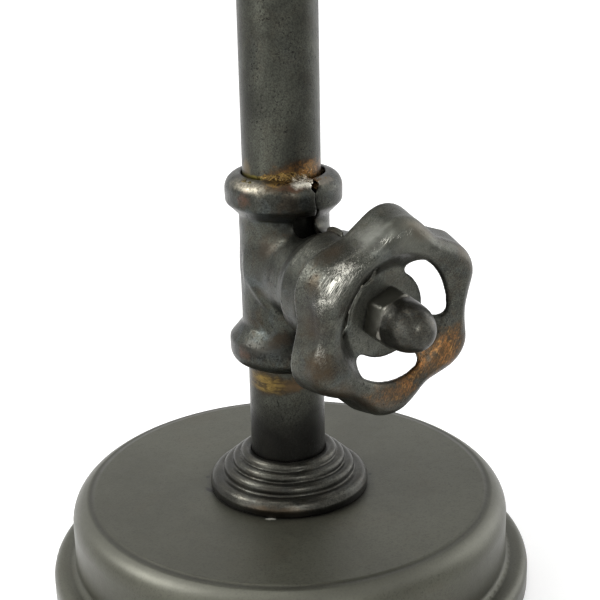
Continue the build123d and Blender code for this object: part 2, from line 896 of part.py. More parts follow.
with BuildPart() as harp:
    with BuildLine() as harp_path:
        FilletPolyline(
            (-half_saddle, 0, peg_top),
            (-half_saddle, 0, leg_top),
            (-harp_half_width, 0, leg_top + harp_spread),
            (-harp_half_width, 0, harp_seat - harp_wire),
            (harp_half_width, 0, harp_seat - harp_wire),
            (harp_half_width, 0, leg_top + harp_spread),
            (half_saddle, 0, leg_top),
            (half_saddle, 0, peg_top),
            radius=(
                harp_foot_round,
                harp_shoulder_round,
                harp_corner,
                harp_corner,
                harp_shoulder_round,
                harp_foot_round,
            ),
        )
    with BuildSketch(Plane.XY.offset(peg_top)):
        with Locations((-half_saddle, 0)):
            Circle(harp_wire)
    sweep(path=harp_path.line)

with BuildPart() as harp_sleeves:
    with BuildSketch(Plane.XY.offset(saddle_top)):
        with GridLocations(saddle_span, 0, 2, 1):
            Circle(sleeve_bore + sleeve_wall)
            Circle(sleeve_bore, mode=Mode.SUBTRACT)
    extrude(amount=sleeve_length)

with BuildPart() as harp_stud:
    with BuildSketch(Plane.XY.offset(harp_seat)):
        Circle(stud_flange_radius)
    extrude(amount=stud_flange)
    with BuildSketch(Plane.XY.offset(hub_bottom)):
        Circle(stud_radius)
    extrude(amount=stud_length)

# ---------------------------------------------------------------- shade

inner_shade = shade_radius - shade_wall
ring_centre = inner_shade - ring_wire
top_ring_height = shade_top - ring_wire
arm_inner = spider_hub_radius - spider_arm_radius
arm_height = hub_bottom + spider_hub_thickness / 2

with BuildPart() as shade_spider:
    add(wire_ring(ring_centre, top_ring_height, ring_wire).part)
    with BuildSketch(Plane.XY.offset(hub_bottom)):
        Circle(spider_hub_radius)
    extrude(amount=spider_hub_thickness)
    for arm in range(spider_arms):
        heading = radians(90 + 360 / spider_arms * arm)
        start = Vector(arm_inner * cos(heading), arm_inner * sin(heading), arm_height)
        finish = Vector(ring_centre * cos(heading), ring_centre * sin(heading), top_ring_height)
        with BuildSketch(Plane(origin=start, z_dir=finish - start)):
            Circle(spider_arm_radius)
        extrude(amount=(finish - start).length)
    with BuildSketch(Plane.XY.offset(hub_bottom - spider_arm_radius)):
        Circle(stud_radius + thread_fit)
    extrude(amount=2 * spider_drop, mode=Mode.SUBTRACT)

shade_panel = disc(Plane.XY, shade_bottom, shade_height, shade_radius, inner_shade)
shade_bottom_ring = wire_ring(ring_centre, shade_bottom + ring_wire, ring_wire)
shade_top_binding = disc(
    Plane.XY, shade_top - binding_height, binding_height, shade_radius + binding_thickness, shade_radius
)
shade_bottom_binding = disc(
    Plane.XY, shade_bottom, binding_height, shade_radius + binding_thickness, shade_radius
)

finial_body = turned(
    (
        (0, hub_top),
        (finial_radius * finial_foot_share, hub_top),
        (finial_neck_radius, hub_top + finial_foot),
        (finial_radius, hub_top + finial_foot + finial_flare),
        (finial_radius, hub_top + finial_height),
        (0, hub_top + finial_height),
    ),
    (0, finial_foot_round, finial_neck_round, finial_flare_round, finial_radius - finial_crown_flat, 0),
)

with BuildPart() as finial:
    add(finial_body.part)
    with BuildSketch(Plane.XY.offset(hub_top)):
        Circle(stud_radius)
    extrude(amount=stud_length - spider_hub_thickness, mode=Mode.SUBTRACT)

# ---------------------------------------------------------------- internal leads


def lead(points, radii):
    """A round lead along straight runs joined by arcs."""
    start = Vector(*points[0])
    with BuildPart() as piece:
        with BuildLine() as route:
            FilletPolyline(*points, radius=radii)
        with BuildSketch(Plane(origin=start, z_dir=Vector(*points[1]) - start)):
            Circle(lead_radius)
        sweep(path=route.line)
    return piece


lead_end = branch_origin + axis_direction * (switch_back - contact_length - face_gap)
floor_run = felt_thickness + plate_thickness + lead_floor_gap + lead_radius
drop_y = weight_radius + weight_clearance / 2
lower_lead = lead(
    (
        (0, upper_tier_radius + grommet_flange, inlet_height),
        (0, drop_y, inlet_height),
        (0, drop_y, floor_run),
        (0, 0, floor_run),
        (0, 0, base_height + plug_height + lead_sway),
        (-lead_side, 0, branch_height - lead_sway),
        (-lead_side, 0, branch_height),
        (-lead_side, lead_end.Y, lead_end.Z),
    ),
    (inlet_bend, inlet_bend, foot_bend, lead_slow_bend, lead_slow_bend, lead_bend),
)
upper_lead = lead(
    (
        (lead_side, lead_end.Y, lead_end.Z),
        (lead_side, 0, branch_height),
        (lead_side, 0, branch_height + lead_sway),
        (0, 0, branch_height + 3 * lead_sway),
        (0, 0, core_bottom + lead_entry),
    ),
    (lead_bend, lead_slow_bend, lead_slow_bend),
)

# ---------------------------------------------------------------- pieces out

pieces = {
    "felt_pad": felt_pad,
    "bottom_plate": bottom_plate,
    "base_shell": base_shell,
    "base_weight": base_weight,
    "base_washer": base_washer,
    "base_lock_nut": base_lock_nut,
    "base_nipple": base_nipple,
    "cord_grommet": cord_grommet,
    "stepped_collar": stepped_collar,
    "stem_foot_plug": stem_foot_plug,
    "stem_pipe": stem_pipe,
    "tee_left_half": tee_left_half,
    "tee_right_half": tee_right_half,
    "braze_bead": braze_bead,
    "switch_housing": switch_housing,
    "switch_rear_cover": switch_rear_cover,
    "switch_contacts": switch_contacts,
    "switch_rotor": switch_rotor,
    "branch_end_plate": branch_end_plate,
    "switch_ring_nut": switch_ring_nut,
    "valve_spindle": valve_spindle,
    "hub_jam_nut": hub_jam_nut,
    "hub_washer": hub_washer,
    "handwheel": handwheel,
    "acorn_nut": acorn_nut,
    "stem_cap": stem_cap,
    "top_nipple": top_nipple,
    "harp_saddle": harp_saddle,
    "saddle_check_nut": saddle_check_nut,
    "socket_cap": socket_cap,
    "socket_shell": socket_shell,
    "socket_liner": socket_liner,
    "socket_core": socket_core,
    "screw_shell": screw_shell,
    "centre_contact": centre_contact,
    "bulb_contact": bulb_contact,
    "bulb_cap": bulb_cap,
    "bulb_glass": bulb_glass,
    "harp": harp,
    "harp_sleeves": harp_sleeves,
    "harp_stud": harp_stud,
    "shade_spider": shade_spider,
    "shade_panel": shade_panel,
    "shade_bottom_ring": shade_bottom_ring,
    "shade_top_binding": shade_top_binding,
    "shade_bottom_binding": shade_bottom_binding,
    "finial": finial,
    "lower_lead": lower_lead,
    "upper_lead": upper_lead,
}

os.makedirs("parts", exist_ok=True)
for name, piece in pieces.items():
    piece.part.label = name
    export_step(piece.part, f"parts/{name}.step")
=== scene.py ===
from functools import cached_property, reduce
from math import atan2, cos, pi, radians, sin, sqrt, tan

import bpy
import numpy as np
import openvdb
from mathutils import Matrix, Vector


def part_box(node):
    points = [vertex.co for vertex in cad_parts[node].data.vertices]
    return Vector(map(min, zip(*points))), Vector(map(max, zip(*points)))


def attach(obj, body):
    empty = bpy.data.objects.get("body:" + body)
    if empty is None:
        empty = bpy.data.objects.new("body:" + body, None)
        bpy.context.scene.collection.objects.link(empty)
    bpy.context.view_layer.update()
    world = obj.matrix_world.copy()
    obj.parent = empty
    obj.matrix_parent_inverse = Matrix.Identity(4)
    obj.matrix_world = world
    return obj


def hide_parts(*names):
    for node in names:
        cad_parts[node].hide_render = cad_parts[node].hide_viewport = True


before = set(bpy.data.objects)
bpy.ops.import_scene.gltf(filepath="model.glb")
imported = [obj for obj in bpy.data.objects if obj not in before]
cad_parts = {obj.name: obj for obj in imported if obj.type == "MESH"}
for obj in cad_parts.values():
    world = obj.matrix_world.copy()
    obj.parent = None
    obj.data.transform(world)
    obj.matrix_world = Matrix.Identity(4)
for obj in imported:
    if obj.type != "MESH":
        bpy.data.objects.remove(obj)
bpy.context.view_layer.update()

MM = 0.001

# ------------------------ sizes, in millimetres
# A round piece is given by its radius. Waves are given by their height, length and seed.

pipe_radius = 12.7

# tee: it hangs a little off the pipe's axis and turned on it
tee_foot = (0.41, -0.28)
tee_turn = radians(-2.0)
tee_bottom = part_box("tee_left_half")[0][2] / MM
tee_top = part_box("tee_left_half")[1][2] / MM
tee_sheet = 1.2
tee_body = 14.8
tee_collar = 19.0
tee_mouth = 13.6
tee_foot_hole = 13.3
upper_lip = 5.0
upper_band = 4.3
upper_cone = 4.1
lower_lip = 4.6
lower_band = 4.1
lower_cone = 5.3
tee_bend = 2.0
crotch_blend = 3.2
tee_waves = (0.12, 16.0, 4)

# fold that runs down the tee's left side towards the branch
crease_heading = radians(-150.0)
crease_height = 104.5
crease_slant = radians(46.0)
crease_length = 8.5
crease_width = 1.3
crease_rise = 0.55

# seam between the halves: it waves, and strays to the right in the crotch
seam_gap = 0.14
seam_offset = 0.15
seam_wave = 0.12
seam_wave_pace = 0.9
stray_reach = 2.2
stray_height = 130.5
stray_spread = 4.5
stray_end = 24.0
stray_fade = 6.0

# slanted slot on the upper collar's rounding
slot_across = 1.1
slot_height = 143.2
slot_slant = radians(36)
slot_half_length = 1.8
slot_half_width = 1.0
slot_back = 13.0

# torn opening in the crotch
tear_height = 130.4
tear_half_height = 3.2
tear_left = -5.2
tear_right = 2.6
tear_back = 12.0
tear_front = 19.0

# torn flap on top of the branch: its ridge is a shallow arch
flap_across = 0.75
flap_lean = 0.25
flap_lean_height = 131.0
flap_half_sheet = 0.42
flap_foot = 128.5
flap_crest = 132.7
flap_crest_forward = 28.6
flap_arch = 0.055
flap_forward = 28.4
flap_half_length = 4.2

# branch: the axis that the handwheel turns about
branch_height = 115.05
branch_droop = radians(3.75)
branch_mouth = 37.5
branch_collar = 18.1
branch_lip = 4.5
branch_band = 7.3
branch_cone = 5.8

# handwheel: its front and hub are along the branch's axis, from the pipe's axis
wheel_front = 61.55
wheel_depth = 12.35
wheel_sheet = 1.2
wheel_edge = 5.0
wheel_flare = radians(11.0)
wheel_turn = radians(-2.3)
wheel_lobes = 6
wheel_lobe_reach = 35.2
wheel_lobe_round = 10.5
wheel_valley_reach = 27.4
wheel_valley_round = 13.3
wheel_dish = 22.6
wheel_hub = 13.8
wheel_hub_depth = 7.1
wheel_crest = 26.0
wheel_crown = 0.05
wheel_waves = (0.2, 12.0, 11)
opening_outer = 19.6
opening_span = radians(78.0)
opening_count = 3
spindle_hole = 5.05
hub_face = wheel_front - wheel_hub_depth

# cap nut, from the hub's face: the hexagon's shoulder has a chamfer of 30 degrees
acorn_flats = 16.0
acorn_turn = radians(20.0)
acorn_hex_height = 6.8
acorn_height = 19.5
acorn_dome = 7.95
acorn_bulge = 2.25
acorn_bore = 10.5
acorn_corner_blend = 0.9
acorn_shoulder_blend = 0.7
acorn_foot_blend = 0.3
chamfer_start = 0.3
chamfer_sine = 0.5
chamfer_cosine = 0.866
acorn_waves = (0.05, 6.0, 21)

# stepped collar: its radii outwards from the pipe's axis, its heights up from the base
base_height = 34.0
base_crease = 68.6
collar_foot = 27.2
collar_foot_height = 2.8
ring_crest_radii = (24.2, 20.5, 17.5, 14.9)
ring_crest_heights = (5.6, 9.1, 11.8, 14.0)
ring_beads = (2.8, 2.0, 1.8, 1.6)
ring_blend = 0.8
collar_neck = 1.9
collar_neck_drop = 0.35
collar_neck_blend = 1.0
collar_clearance = 0.03
collar_waves = (0.08, 12.0, 41)

# braze between pipe and upper collar: its middle and spread are headings in degrees from +X
braze_middle = -120.0
braze_spread = 52.0
braze_bridge = 3.4
braze_lumps = (0.5, 5.0, 31)
braze_skin = 0.12
braze_ripple = 0.07
braze_ripples = (1.0, 2.2, 32)
braze_outside = 16.6
braze_into_pipe = 0.6
braze_above = 2.6
braze_below = 3.2

# ------------------------ frames

axis = np.array((0.0, -cos(branch_droop), -sin(branch_droop)))
axis_side = np.array((1.0, 0.0, 0.0))
axis_up = np.cross(axis, axis_side)
axis_root = np.array((0.0, 0.0, branch_height))
branch_place = np.column_stack((axis_side, axis_up, axis, axis_root))


def turn_to(x_axis, y_axis, z_axis):
    """Euler turn of a frame with these axes."""
    return Matrix([[v[i] for v in (x_axis, y_axis, z_axis)] for i in range(3)]).to_euler()


def turned(x, y, angle):
    """A point in axes that are turned by an angle, or the turned axes of a pair of axes."""
    return x * cos(angle) + y * sin(angle), y * cos(angle) - x * sin(angle)


def wheel_spoke(angle):
    """Directions outwards and around on the wheel, at an angle in degrees."""
    return turned(axis_side, axis_up, radians(angle))


def stroke_turn(angle):
    """Turn of a frame whose X axis runs around the wheel, at an angle in degrees."""
    outwards, around = wheel_spoke(angle)
    return turn_to(around, -outwards, axis)


def pipe_point(radius, angle, height):
    """A point in metres at a radius and a heading, in degrees, around the pipe."""
    return np.array((radius * cos(radians(angle)), radius * sin(radians(angle)), height)) * MM


def new_object(name, data):
    thing = bpy.data.objects.new(name, data)
    bpy.context.scene.collection.objects.link(thing)
    return thing


# ------------------------ camera

picture = 600
focal_pixels = 1300.0
sensor_width = 36.0
camera_azimuth = radians(-34.31)
camera_elevation = 0.3396
camera_distance = 432.149
camera_target_height = 100.92
camera_side_step = 5.066
camera_roll = -0.0211


def make_camera():
    flat = cos(camera_elevation)
    back = np.array((sin(camera_azimuth) * flat, -cos(camera_azimuth) * flat, sin(camera_elevation)))
    right = np.array((cos(camera_azimuth), sin(camera_azimuth), 0.0))
    up = np.cross(back, right)
    target = np.array((0, 0, camera_target_height))
    place = (target + right * camera_side_step + back * camera_distance) * MM
    right, up = turned(right, up, camera_roll)
    data = bpy.data.cameras.new("camera")
    data.sensor_width = sensor_width
    data.lens = focal_pixels / picture * sensor_width
    data.clip_start = 0.01
    camera = new_object("camera", data)
    rows = [[right[i], up[i], back[i], place[i]] for i in range(3)]
    camera.matrix_world = Matrix(rows + [[0, 0, 0, 1]])
    bpy.context.scene.camera = camera


# ------------------------ node shorthand


class Graph:
    """The nodes of a new material or world, with short names for what they do. Sizes are in metres."""

    def __init__(self, name, group=bpy.data.materials):
        self.owner = group.new(name)
        self.owner.use_nodes = True
        self.tree = self.owner.node_tree
        self.tree.nodes.clear()
        self.colour = None

    @cached_property
    def place(self):
        """Where a point lies in the piece's own frame, which is the row frame at rest."""
        return self.add("TexCoord").outputs["Object"]

    def add(self, kind, inputs=None, **settings):
        """A node. An input is a number, a vector, a colour of three numbers or another node's socket."""
        node = self.tree.nodes.new("ShaderNode" + kind)
        for key, value in settings.items():
            setattr(node, key, value)
        for key, value in (inputs or {}).items():
            socket = node.inputs[key]
            if isinstance(value, bpy.types.NodeSocket):
                self.tree.links.new(value, socket)
            else:
                socket.default_value = (*value, 1.0) if socket.type == "RGBA" else value
        return node

    def math(self, operation, first, second=0.0, clamp=False):
        inputs = {0: first, 1: second}
        return self.add("Math", inputs, operation=operation, use_clamp=clamp).outputs[0]

    def times(self, first, second):
        return self.math("MULTIPLY", first, second)

    def plus(self, first, second):
        return self.math("ADD", first, second)

    def length(self, vector):
        return self.add("VectorMath", {0: vector}, operation="LENGTH").outputs["Value"]

    def local(self, turn, centre=(0, 0, 0), scale=(1, 1, 1)):
        """Where a point lies in a turned frame at a centre, with a unit of its own along each axis."""
        inputs = {"Vector": self.place, "Location": centre, "Rotation": turn, "Scale": scale}
        return self.add("Mapping", inputs, vector_type="TEXTURE").outputs[0]

    def noise(self, size, detail=3.0, roughness=0.55, warp=0.0, place=None, stretch=None):
        """Noise from 0 to 1 with features of about that size; stretch lengthens them along X, Y, Z."""
        place = place or self.place
        if stretch:
            scale = [1 / s for s in stretch]
            place = self.add("Mapping", {"Vector": place, "Scale": scale}).outputs[0]
        inputs = {"Vector": place, "Scale": 1 / size, "Detail": detail, "Roughness": roughness}
        return self.add("TexNoise", {**inputs, "Distortion": warp}).outputs["Fac"]

    def step(self, value, low, high):
        """0 below low and 1 above high, smooth between; low may be the larger."""
        inputs = {"Value": value, "From Min": low, "From Max": high}
        return self.add("MapRange", inputs, interpolation_type="SMOOTHSTEP").outputs["Result"]

    def scale(self, value, low, high):
        """Takes 0 to 1 to low to high."""
        inputs = {"Value": value, "To Min": low, "To Max": high}
        return self.add("MapRange", inputs).outputs["Result"]

    def mix(self, amount, first, second):
        """A colour between two."""
        return self.add("Mix", {0: amount, 6: first, 7: second}, data_type="RGBA").outputs[2]

    def cover(self, tint, mask, amount=1.0):
        """Lays a tint over the colour so far, as strong as the mask times the amount."""
        self.colour = self.mix(self.times(mask, amount), self.colour, tint)

    def spot(self, centre, radii, turn=(0, 0, 0), ragged=0.5, grain=0.003, soft=0.5):
        """1 inside an ellipsoid with a ragged edge, 0 outside."""
        distance = self.length(self.local(turn, centre, radii))
        rough = self.scale(self.noise(grain, 5, 0.65), -2.2 * ragged, 2.2 * ragged)
        return self.step(self.plus(distance, rough), 1.0 + soft / 2, 1.0 - soft)

    def streaks(self, turn, size, length, shift=0.0):
        """Fine scratches: noise drawn out along the X axis of a turned frame."""
        return self.noise(size, 2, 0.5, 0.0, self.local(turn, (shift, 0, 0)), (length / size, 1, 1))

    def height_band(self, low, high, soft, wander=0.0, grain=0.006):
        """1 between two heights above the table, 0 outside, with soft and wandering edges."""
        height = self.add("SeparateXYZ", {0: self.place}).outputs[2]
        if wander:
            height = self.plus(height, self.scale(self.noise(grain, 4, 0.6), -wander, wander))
        rise = self.step(height, low - soft, low + soft)
        return self.times(rise, self.step(height, high + soft, high - soft))

    def occlusion(self, reach, **settings):
        inputs = {"Distance": reach}
        return self.add("AmbientOcclusion", inputs, samples=8, **settings).outputs["AO"]

    def crevice_shade(self, reach):
        """Painted shade: 1 in corners and crevices narrower than reach, 0 on open faces."""
        return self.step(self.occlusion(reach), 0.9, 0.35)

    def edge_wear_and_highlight(self, reach):
        """1 on sharp outside edges, where wear and a painted highlight are laid."""
        return self.step(self.occlusion(reach, inside=True, only_local=True), 0.85, 0.45)

    def seen_rays(self):
        """1 for rays that show a surface, straight, in a reflection or through glass, 0 for the rest."""
        rays = self.add("LightPath").outputs
        seen = self.plus(rays["Is Camera Ray"], rays["Is Glossy Ray"])
        return self.math("ADD", seen, rays["Is Transmission Ray"], clamp=True)

    def output(self, kind, shader):
        """Puts a shader out and returns the finished material or world."""
        self.add(kind, {0: shader.outputs[0]})
        return self.owner

    def finish(self, roughness, height, depth, metallic, **others):
        """Puts out a principled surface whose bumps have that height times depth."""
        bump = self.add("Bump", {"Height": height, "Distance": depth, "Strength": 1.0}).outputs[0]
        inputs = {"Base Color": self.colour, "Roughness": roughness, "Metallic": metallic, "Normal": bump}
        inputs.update({key.replace("_", " "): value for key, value in others.items()})
        return self.output("OutputMaterial", self.add("BsdfPrincipled", inputs))


# ------------------------ stains

black = (0.006, 0.0055, 0.005)
dark_brown = (0.024, 0.015, 0.008)
umber = (0.046, 0.031, 0.017)
brown = (0.1, 0.056, 0.022)
bare = (0.6, 0.59, 0.52)
cold = (0.082, 0.098, 0.1)


def aged_steel(g, tone, cloud=0.014, warm=0.4, cool=0.3, speckle=0.75, gloss=(0.27, 0.47)):
    """Oiled steel that has darkened unevenly around a tone: gives its roughness and height."""
    dark = [c * 0.55 for c in tone]
    light = [c * 1.5 for c in tone]
    clouds = g.noise(cloud, 5, 0.62, 0.8)
    g.colour = g.mix(g.step(clouds, 0.28, 0.74), dark, light)
    warm_spots = g.step(g.noise(cloud * 0.6, 5, 0.65, 1.4), 0.47, 0.7)
    g.cover(umber, warm_spots, warm)
    cool_spots = g.step(g.noise(cloud * 0.8, 4, 0.6, 1.0, stretch=(1.3, 0.8, 1.1)), 0.5, 0.72)
    g.cover(cold, cool_spots, cool)
    fine = g.noise(0.0005, 3, 0.75)
    g.cover(black, g.step(fine, 0.32, 0.7), 0.65)
    dots = g.step(g.noise(0.0009, 3, 0.75), 0.55, 0.65)
    where = g.step(g.noise(0.0055, 4, 0.6, 0.8, stretch=(1, 1, 2.2)), 0.4, 0.62)
    dots = g.times(dots, g.scale(where, 0.2, 1.0))
    g.cover(black, dots, speckle)
    roughness = g.plus(g.scale(g.noise(0.004, 4, 0.65), *gloss), g.times(dots, 0.18))
    height = g.plus(g.times(fine, 0.3), g.times(dots, -0.6))
    return roughness, g.plus(height, g.times(clouds, 2.0))


def stain(g, place, radii, turn, tint, amount, ragged=0.5, grain=0.004, soft=0.6):
    """A ragged stain: its place is in metres, its radii are in millimetres."""
    mask = g.spot(place, [r * MM for r in radii], turn, ragged, grain, soft)
    g.cover(tint, mask, amount)


def round_stains(g, stains, **settings):
    """Stains around the pipe's axis: radii are outwards, around and upwards."""
    for angle, radius, height, radii, tint, amount in stains:
        place = pipe_point(radius, angle, height)
        stain(g, place, radii, (0, 0, radians(angle)), tint, amount, **settings)


def pipe_stains(g, stains, **settings):
    """Stains on the pipe: width is half their run around it, rise half their height."""
    depth = 12.0
    rows = [(a, pipe_radius, z, (depth, width, rise), *look) for a, z, width, rise, *look in stains]
    round_stains(g, rows, **settings)


def wheel_stains(g, stains, soft=0.9, **settings):
    """Stains on the wheel: radii are outwards, around and along the branch's axis."""
    for radius, angle, along, radii, tint, amount in stains:
        outwards, around = wheel_spoke(angle)
        place = (axis_root + outwards * radius + axis * along) * MM
        turn = turn_to(outwards, around, axis)
        stain(g, place, radii, turn, tint, amount, soft=soft, **settings)


# ------------------------ materials in the photo


def heat_tint(g):
    """Above the tee: a dark fringe around brown, with gold and bare flecks inside."""
    film = g.noise(0.0016, 5, 0.7, 1.5)
    glints = g.step(g.noise(0.0007, 4, 0.7), 0.6, 0.68)
    tarnish = g.mix(g.step(film, 0.35, 0.65), umber, (0.12, 0.06, 0.016))
    copper = g.mix(g.step(film, 0.4, 0.6), umber, (0.2, 0.095, 0.025))
    fringe = (
        (-102, 144.9, 13, 5.4, dark_brown, 0.9),
        (-80, 146.8, 9, 5.6, dark_brown, 0.9),
    )
    inside = (
        (-99, 144.7, 11.5, 4, tarnish, 0.95),
        (-79, 146.2, 7, 4, copper, 0.95),
        (-72, 148.6, 4, 1.4, (0.12, 0.085, 0.045), 0.35),
        (-84, 145.6, 8, 2.6, (0.55, 0.42, 0.26), glints),
        (174, 147, 3, 3.6, (0.085, 0.062, 0.03), 0.8),
    )
    pipe_stains(g, fringe, grain=0.005)
    pipe_stains(g, inside)
    line = g.height_band(0.1449, 0.1459, 0.0004, 0.0004, 0.002)
    line = g.times(line, g.spot(pipe_point(pipe_radius, -140, 145.5), (0.012, 0.016, 0.01), ragged=0.2))
    g.cover((0.12, 0.1, 0.02), line, 0.85)


def golden_lobes(g):
    """Under the tee: three golden lobes with dark fringes, and a brown stain beside them."""
    drawn = g.noise(0.0011, 4, 0.65, 1.0, stretch=(4, 4, 1))
    gold = g.mix(g.step(drawn, 0.38, 0.62), (0.05, 0.035, 0.014), (0.18, 0.12, 0.032))
    lobes = ((-163, 77.2, 7, 2.2), (-138, 75.6, 6, 1.6), (-160, 74, 7, 1.5))
    fringes = [(a, z, width + 2.0, rise + 1.1, dark_brown, 0.7) for a, z, width, rise in lobes]
    pipe_stains(g, fringes, grain=0.005)
    pipe_stains(g, [(*lobe, gold, 0.85) for lobe in lobes], soft=1.0)
    beside = ((-108, 75.5, 7, 2.6, umber, 0.8), (-106, 74.8, 5, 1.2, (0.075, 0.048, 0.025), 0.6))
    pipe_stains(g, beside)


def pipe_material():
    g = Graph("pipe_steel")
    roughness, height = aged_steel(g, (0.051, 0.053, 0.042), 0.02, 0.15, 0.12, 0.95)
    # painted shade and dark reflection: the pipe darker towards the bottom, below the tee
    shade_below_tee = g.height_band(0.0, 0.0655, 0.009, 0.003)
    g.cover(black, shade_below_tee, 0.8)
    # painted shade on the pipe inside the tee
    shade_inside_tee = g.height_band(0.084, 0.1437, 0.0006)
    g.cover(black, shade_inside_tee, 0.7)
    heat_tint(g)
    golden_lobes(g)
    return g.finish(roughness, height, 0.00007, 0.88)


def tee_material():
    g = Graph("tee_steel")
    roughness, height = aged_steel(g, (0.047, 0.049, 0.04), 0.011, 0.45, 0.45, 0.85)
    # painted shade in corners and crevices
    g.cover(black, g.crevice_shade(0.005), 0.75)
    # dark speckled bands: under the upper collar's rounding and on the lower collar
    flecks = g.step(g.noise(0.0014, 5, 0.75), 0.36, 0.62)
    for low, high, soft, amount in ((0.1365, 0.1405, 0.002, 0.4), (0.0862, 0.0896, 0.0014, 0.8)):
        band = g.times(g.height_band(low, high, soft, 0.002, 0.004), flecks)
        g.cover(black, band, amount)
    # heat colours on top of the upper collar, with a beige patch of bare metal and painted highlight on
    # its left, then darker patches further down
    film = g.noise(0.0016, 5, 0.7, 1.5)
    bare_beige_and_highlight = g.mix(g.step(film, 0.3, 0.7), (0.07, 0.06, 0.04), (0.27, 0.25, 0.2))
    gilt = g.mix(g.step(film, 0.4, 0.6), dark_brown, (0.16, 0.095, 0.025))
    burnt = g.mix(g.step(film, 0.35, 0.6), umber, (0.085, 0.042, 0.027))
    silver = g.mix(g.step(film, 0.3, 0.56), (0.22, 0.21, 0.17), (0.75, 0.73, 0.64))
    stains = (
        (-158, 16.6, 143.7, (4.5, 10, 2.2), bare_beige_and_highlight, 0.75),
        (-122, 15.6, 144.4, (4, 8.5, 2.4), umber, 0.75),
        (-124, 15.2, 144.8, (2.6, 7.5, 1.6), gilt, 0.95),
        (-112, 17, 143.6, (1.8, 4.6, 1.4), burnt, 0.85),
        (-97, 15.8, 144.5, (2.6, 4.4, 1.7), silver, 1),
        (-72, 16.2, 144.2, (2.4, 4.6, 1.6), (0.17, 0.15, 0.12), 0.7),
        (-165, 18.7, 139.2, (2.2, 2.6, 2.4), burnt, 0.6),
        (-172, 18.6, 87.5, (2.2, 3, 2.2), burnt, 0.55),
        (-150, 18.6, 90.5, (3, 16, 3), (0.028, 0.027, 0.023), 0.75),
        (-140, 14.8, 123, (3, 5.5, 5.5), (0.03, 0.022, 0.015), 0.6),
        (-128, 15.6, 93, (3, 4.5, 3), (0.035, 0.024, 0.015), 0.6),
    )
    round_stains(g, stains)
    # brushed marks on top of the branch's collar, over a soft painted highlight
    scratches = g.step(g.streaks(stroke_turn(142), 0.00022, 0.007), 0.47, 0.68)
    brushed_highlight_spot = g.spot((-0.0085, -0.029, 0.1285), (0.008, 0.009, 0.006), soft=0.9)
    g.cover((0.21, 0.21, 0.175), brushed_highlight_spot, g.scale(scratches, 0.12, 0.75))
    dull = g.spot((-0.0005, -0.024, 0.131), (0.006, 0.007, 0.004), soft=0.9)
    g.cover((0.05, 0.042, 0.03), dull, 0.7)
    return g.finish(roughness, height, 0.00008, 0.9)


def flute_shade(g):
    """Painted shade in the wheel's flutes: behind the rounded edge, and outside the dish."""
    own = g.local(turn_to(axis_side, axis_up, axis), axis_root * MM)
    side, up, along = g.add("SeparateXYZ", {0: own}).outputs
    heading = g.plus(g.math("ARCTAN2", up, side), -wheel_turn)
    flute = g.step(g.math("COSINE", g.times(heading, wheel_lobes)), -0.1, 1.0)
    outwards = g.length(g.add("CombineXYZ", {0: side, 1: up}).outputs[0])
    depth = g.times(g.step(along, 0.0605, 0.0545), g.step(outwards, 0.022, 0.026))
    return g.times(g.times(flute, depth), g.scale(g.noise(0.005, 4, 0.6), 0.2, 0.9))


def lobe_stains(g):
    """Brown stains on the wheel's lobes, and painted shade in and beside three flutes at the left."""
    browns = (
        (29.5, 172, 56, (6, 5, 4.5), umber, 0.5),
        (30, 150, 55, (5, 3.5, 3), umber, 0.7),
        (28, 200, 58.5, (6, 6, 4), umber, 0.75),
        (31, 130, 53, (4, 5, 3), umber, 0.7),
        (28.5, 222, 60, (5, 6, 3), umber, 0.7),
        (27, 245, 60.5, (4, 7, 3), umber, 0.6),
        (29, 75, 60, (4, 8, 3), umber, 0.5),
        (30, 35, 60, (4, 8, 3), umber, 0.5),
    )
    wheel_stains(g, browns, grain=0.006)
    # painted shade in and beside the flutes at the left
    flute_shade_tone = (0.016, 0.015, 0.015)
    left_flute_shades = (
        (31, 166, 56.5, (5, 7, 4), flute_shade_tone, 0.65),
        (29, 178, 58.5, (5, 5, 4), flute_shade_tone, 0.65),
        (30, 236, 57.5, (5, 6, 4), flute_shade_tone, 0.65),
    )
    wheel_stains(g, left_flute_shades, grain=0.005)


def wheel_rust(g):
    """Rust at the lower right of the rim, in short strokes: three tints, the brightest in clusters."""
    strokes = g.streaks(stroke_turn(-30), 0.0004, 0.002, 0.03)
    grains = g.noise(0.0008, 5, 0.8, 0.4)
    flakes = g.plus(g.times(strokes, 0.45), g.times(grains, 0.55))
    patchy = g.step(g.noise(0.0035, 5, 0.7, 0.6), 0.33, 0.52)
    clusters = g.step(g.noise(0.0028, 3, 0.6, 1.0, stretch=(1.3, 0.9, 1.1)), 0.47, 0.62)
    layers = (
        (brown, g.times(g.step(flakes, 0.34, 0.54), patchy), 1.0),
        ((0.25, 0.11, 0.038), g.times(g.step(flakes, 0.44, 0.6), patchy), 0.95),
        ((0.44, 0.28, 0.09), g.times(g.times(g.step(flakes, 0.5, 0.62), patchy), clusters), 0.9),
    )
    for radius, angle, along, radii, strength in (
        (23, -36, 61, (5, 7.5, 4), 1),
        (19.5, -58, 59.5, (3, 4.5, 3), 1),
        (21.8, -80, 60.8, (3, 4.5, 3.5), 0.8),
        (23.5, -100, 61.2, (3.5, 7, 3), 0.3),
    ):
        fringe = [r * 1.35 for r in radii]
        rows = [(radius, angle, along, fringe, umber, 0.85 * strength)]
        for tint, flecks, most in layers:
            rows.append((radius, angle, along, radii, tint, g.times(flecks, most * strength)))
        wheel_stains(g, rows)


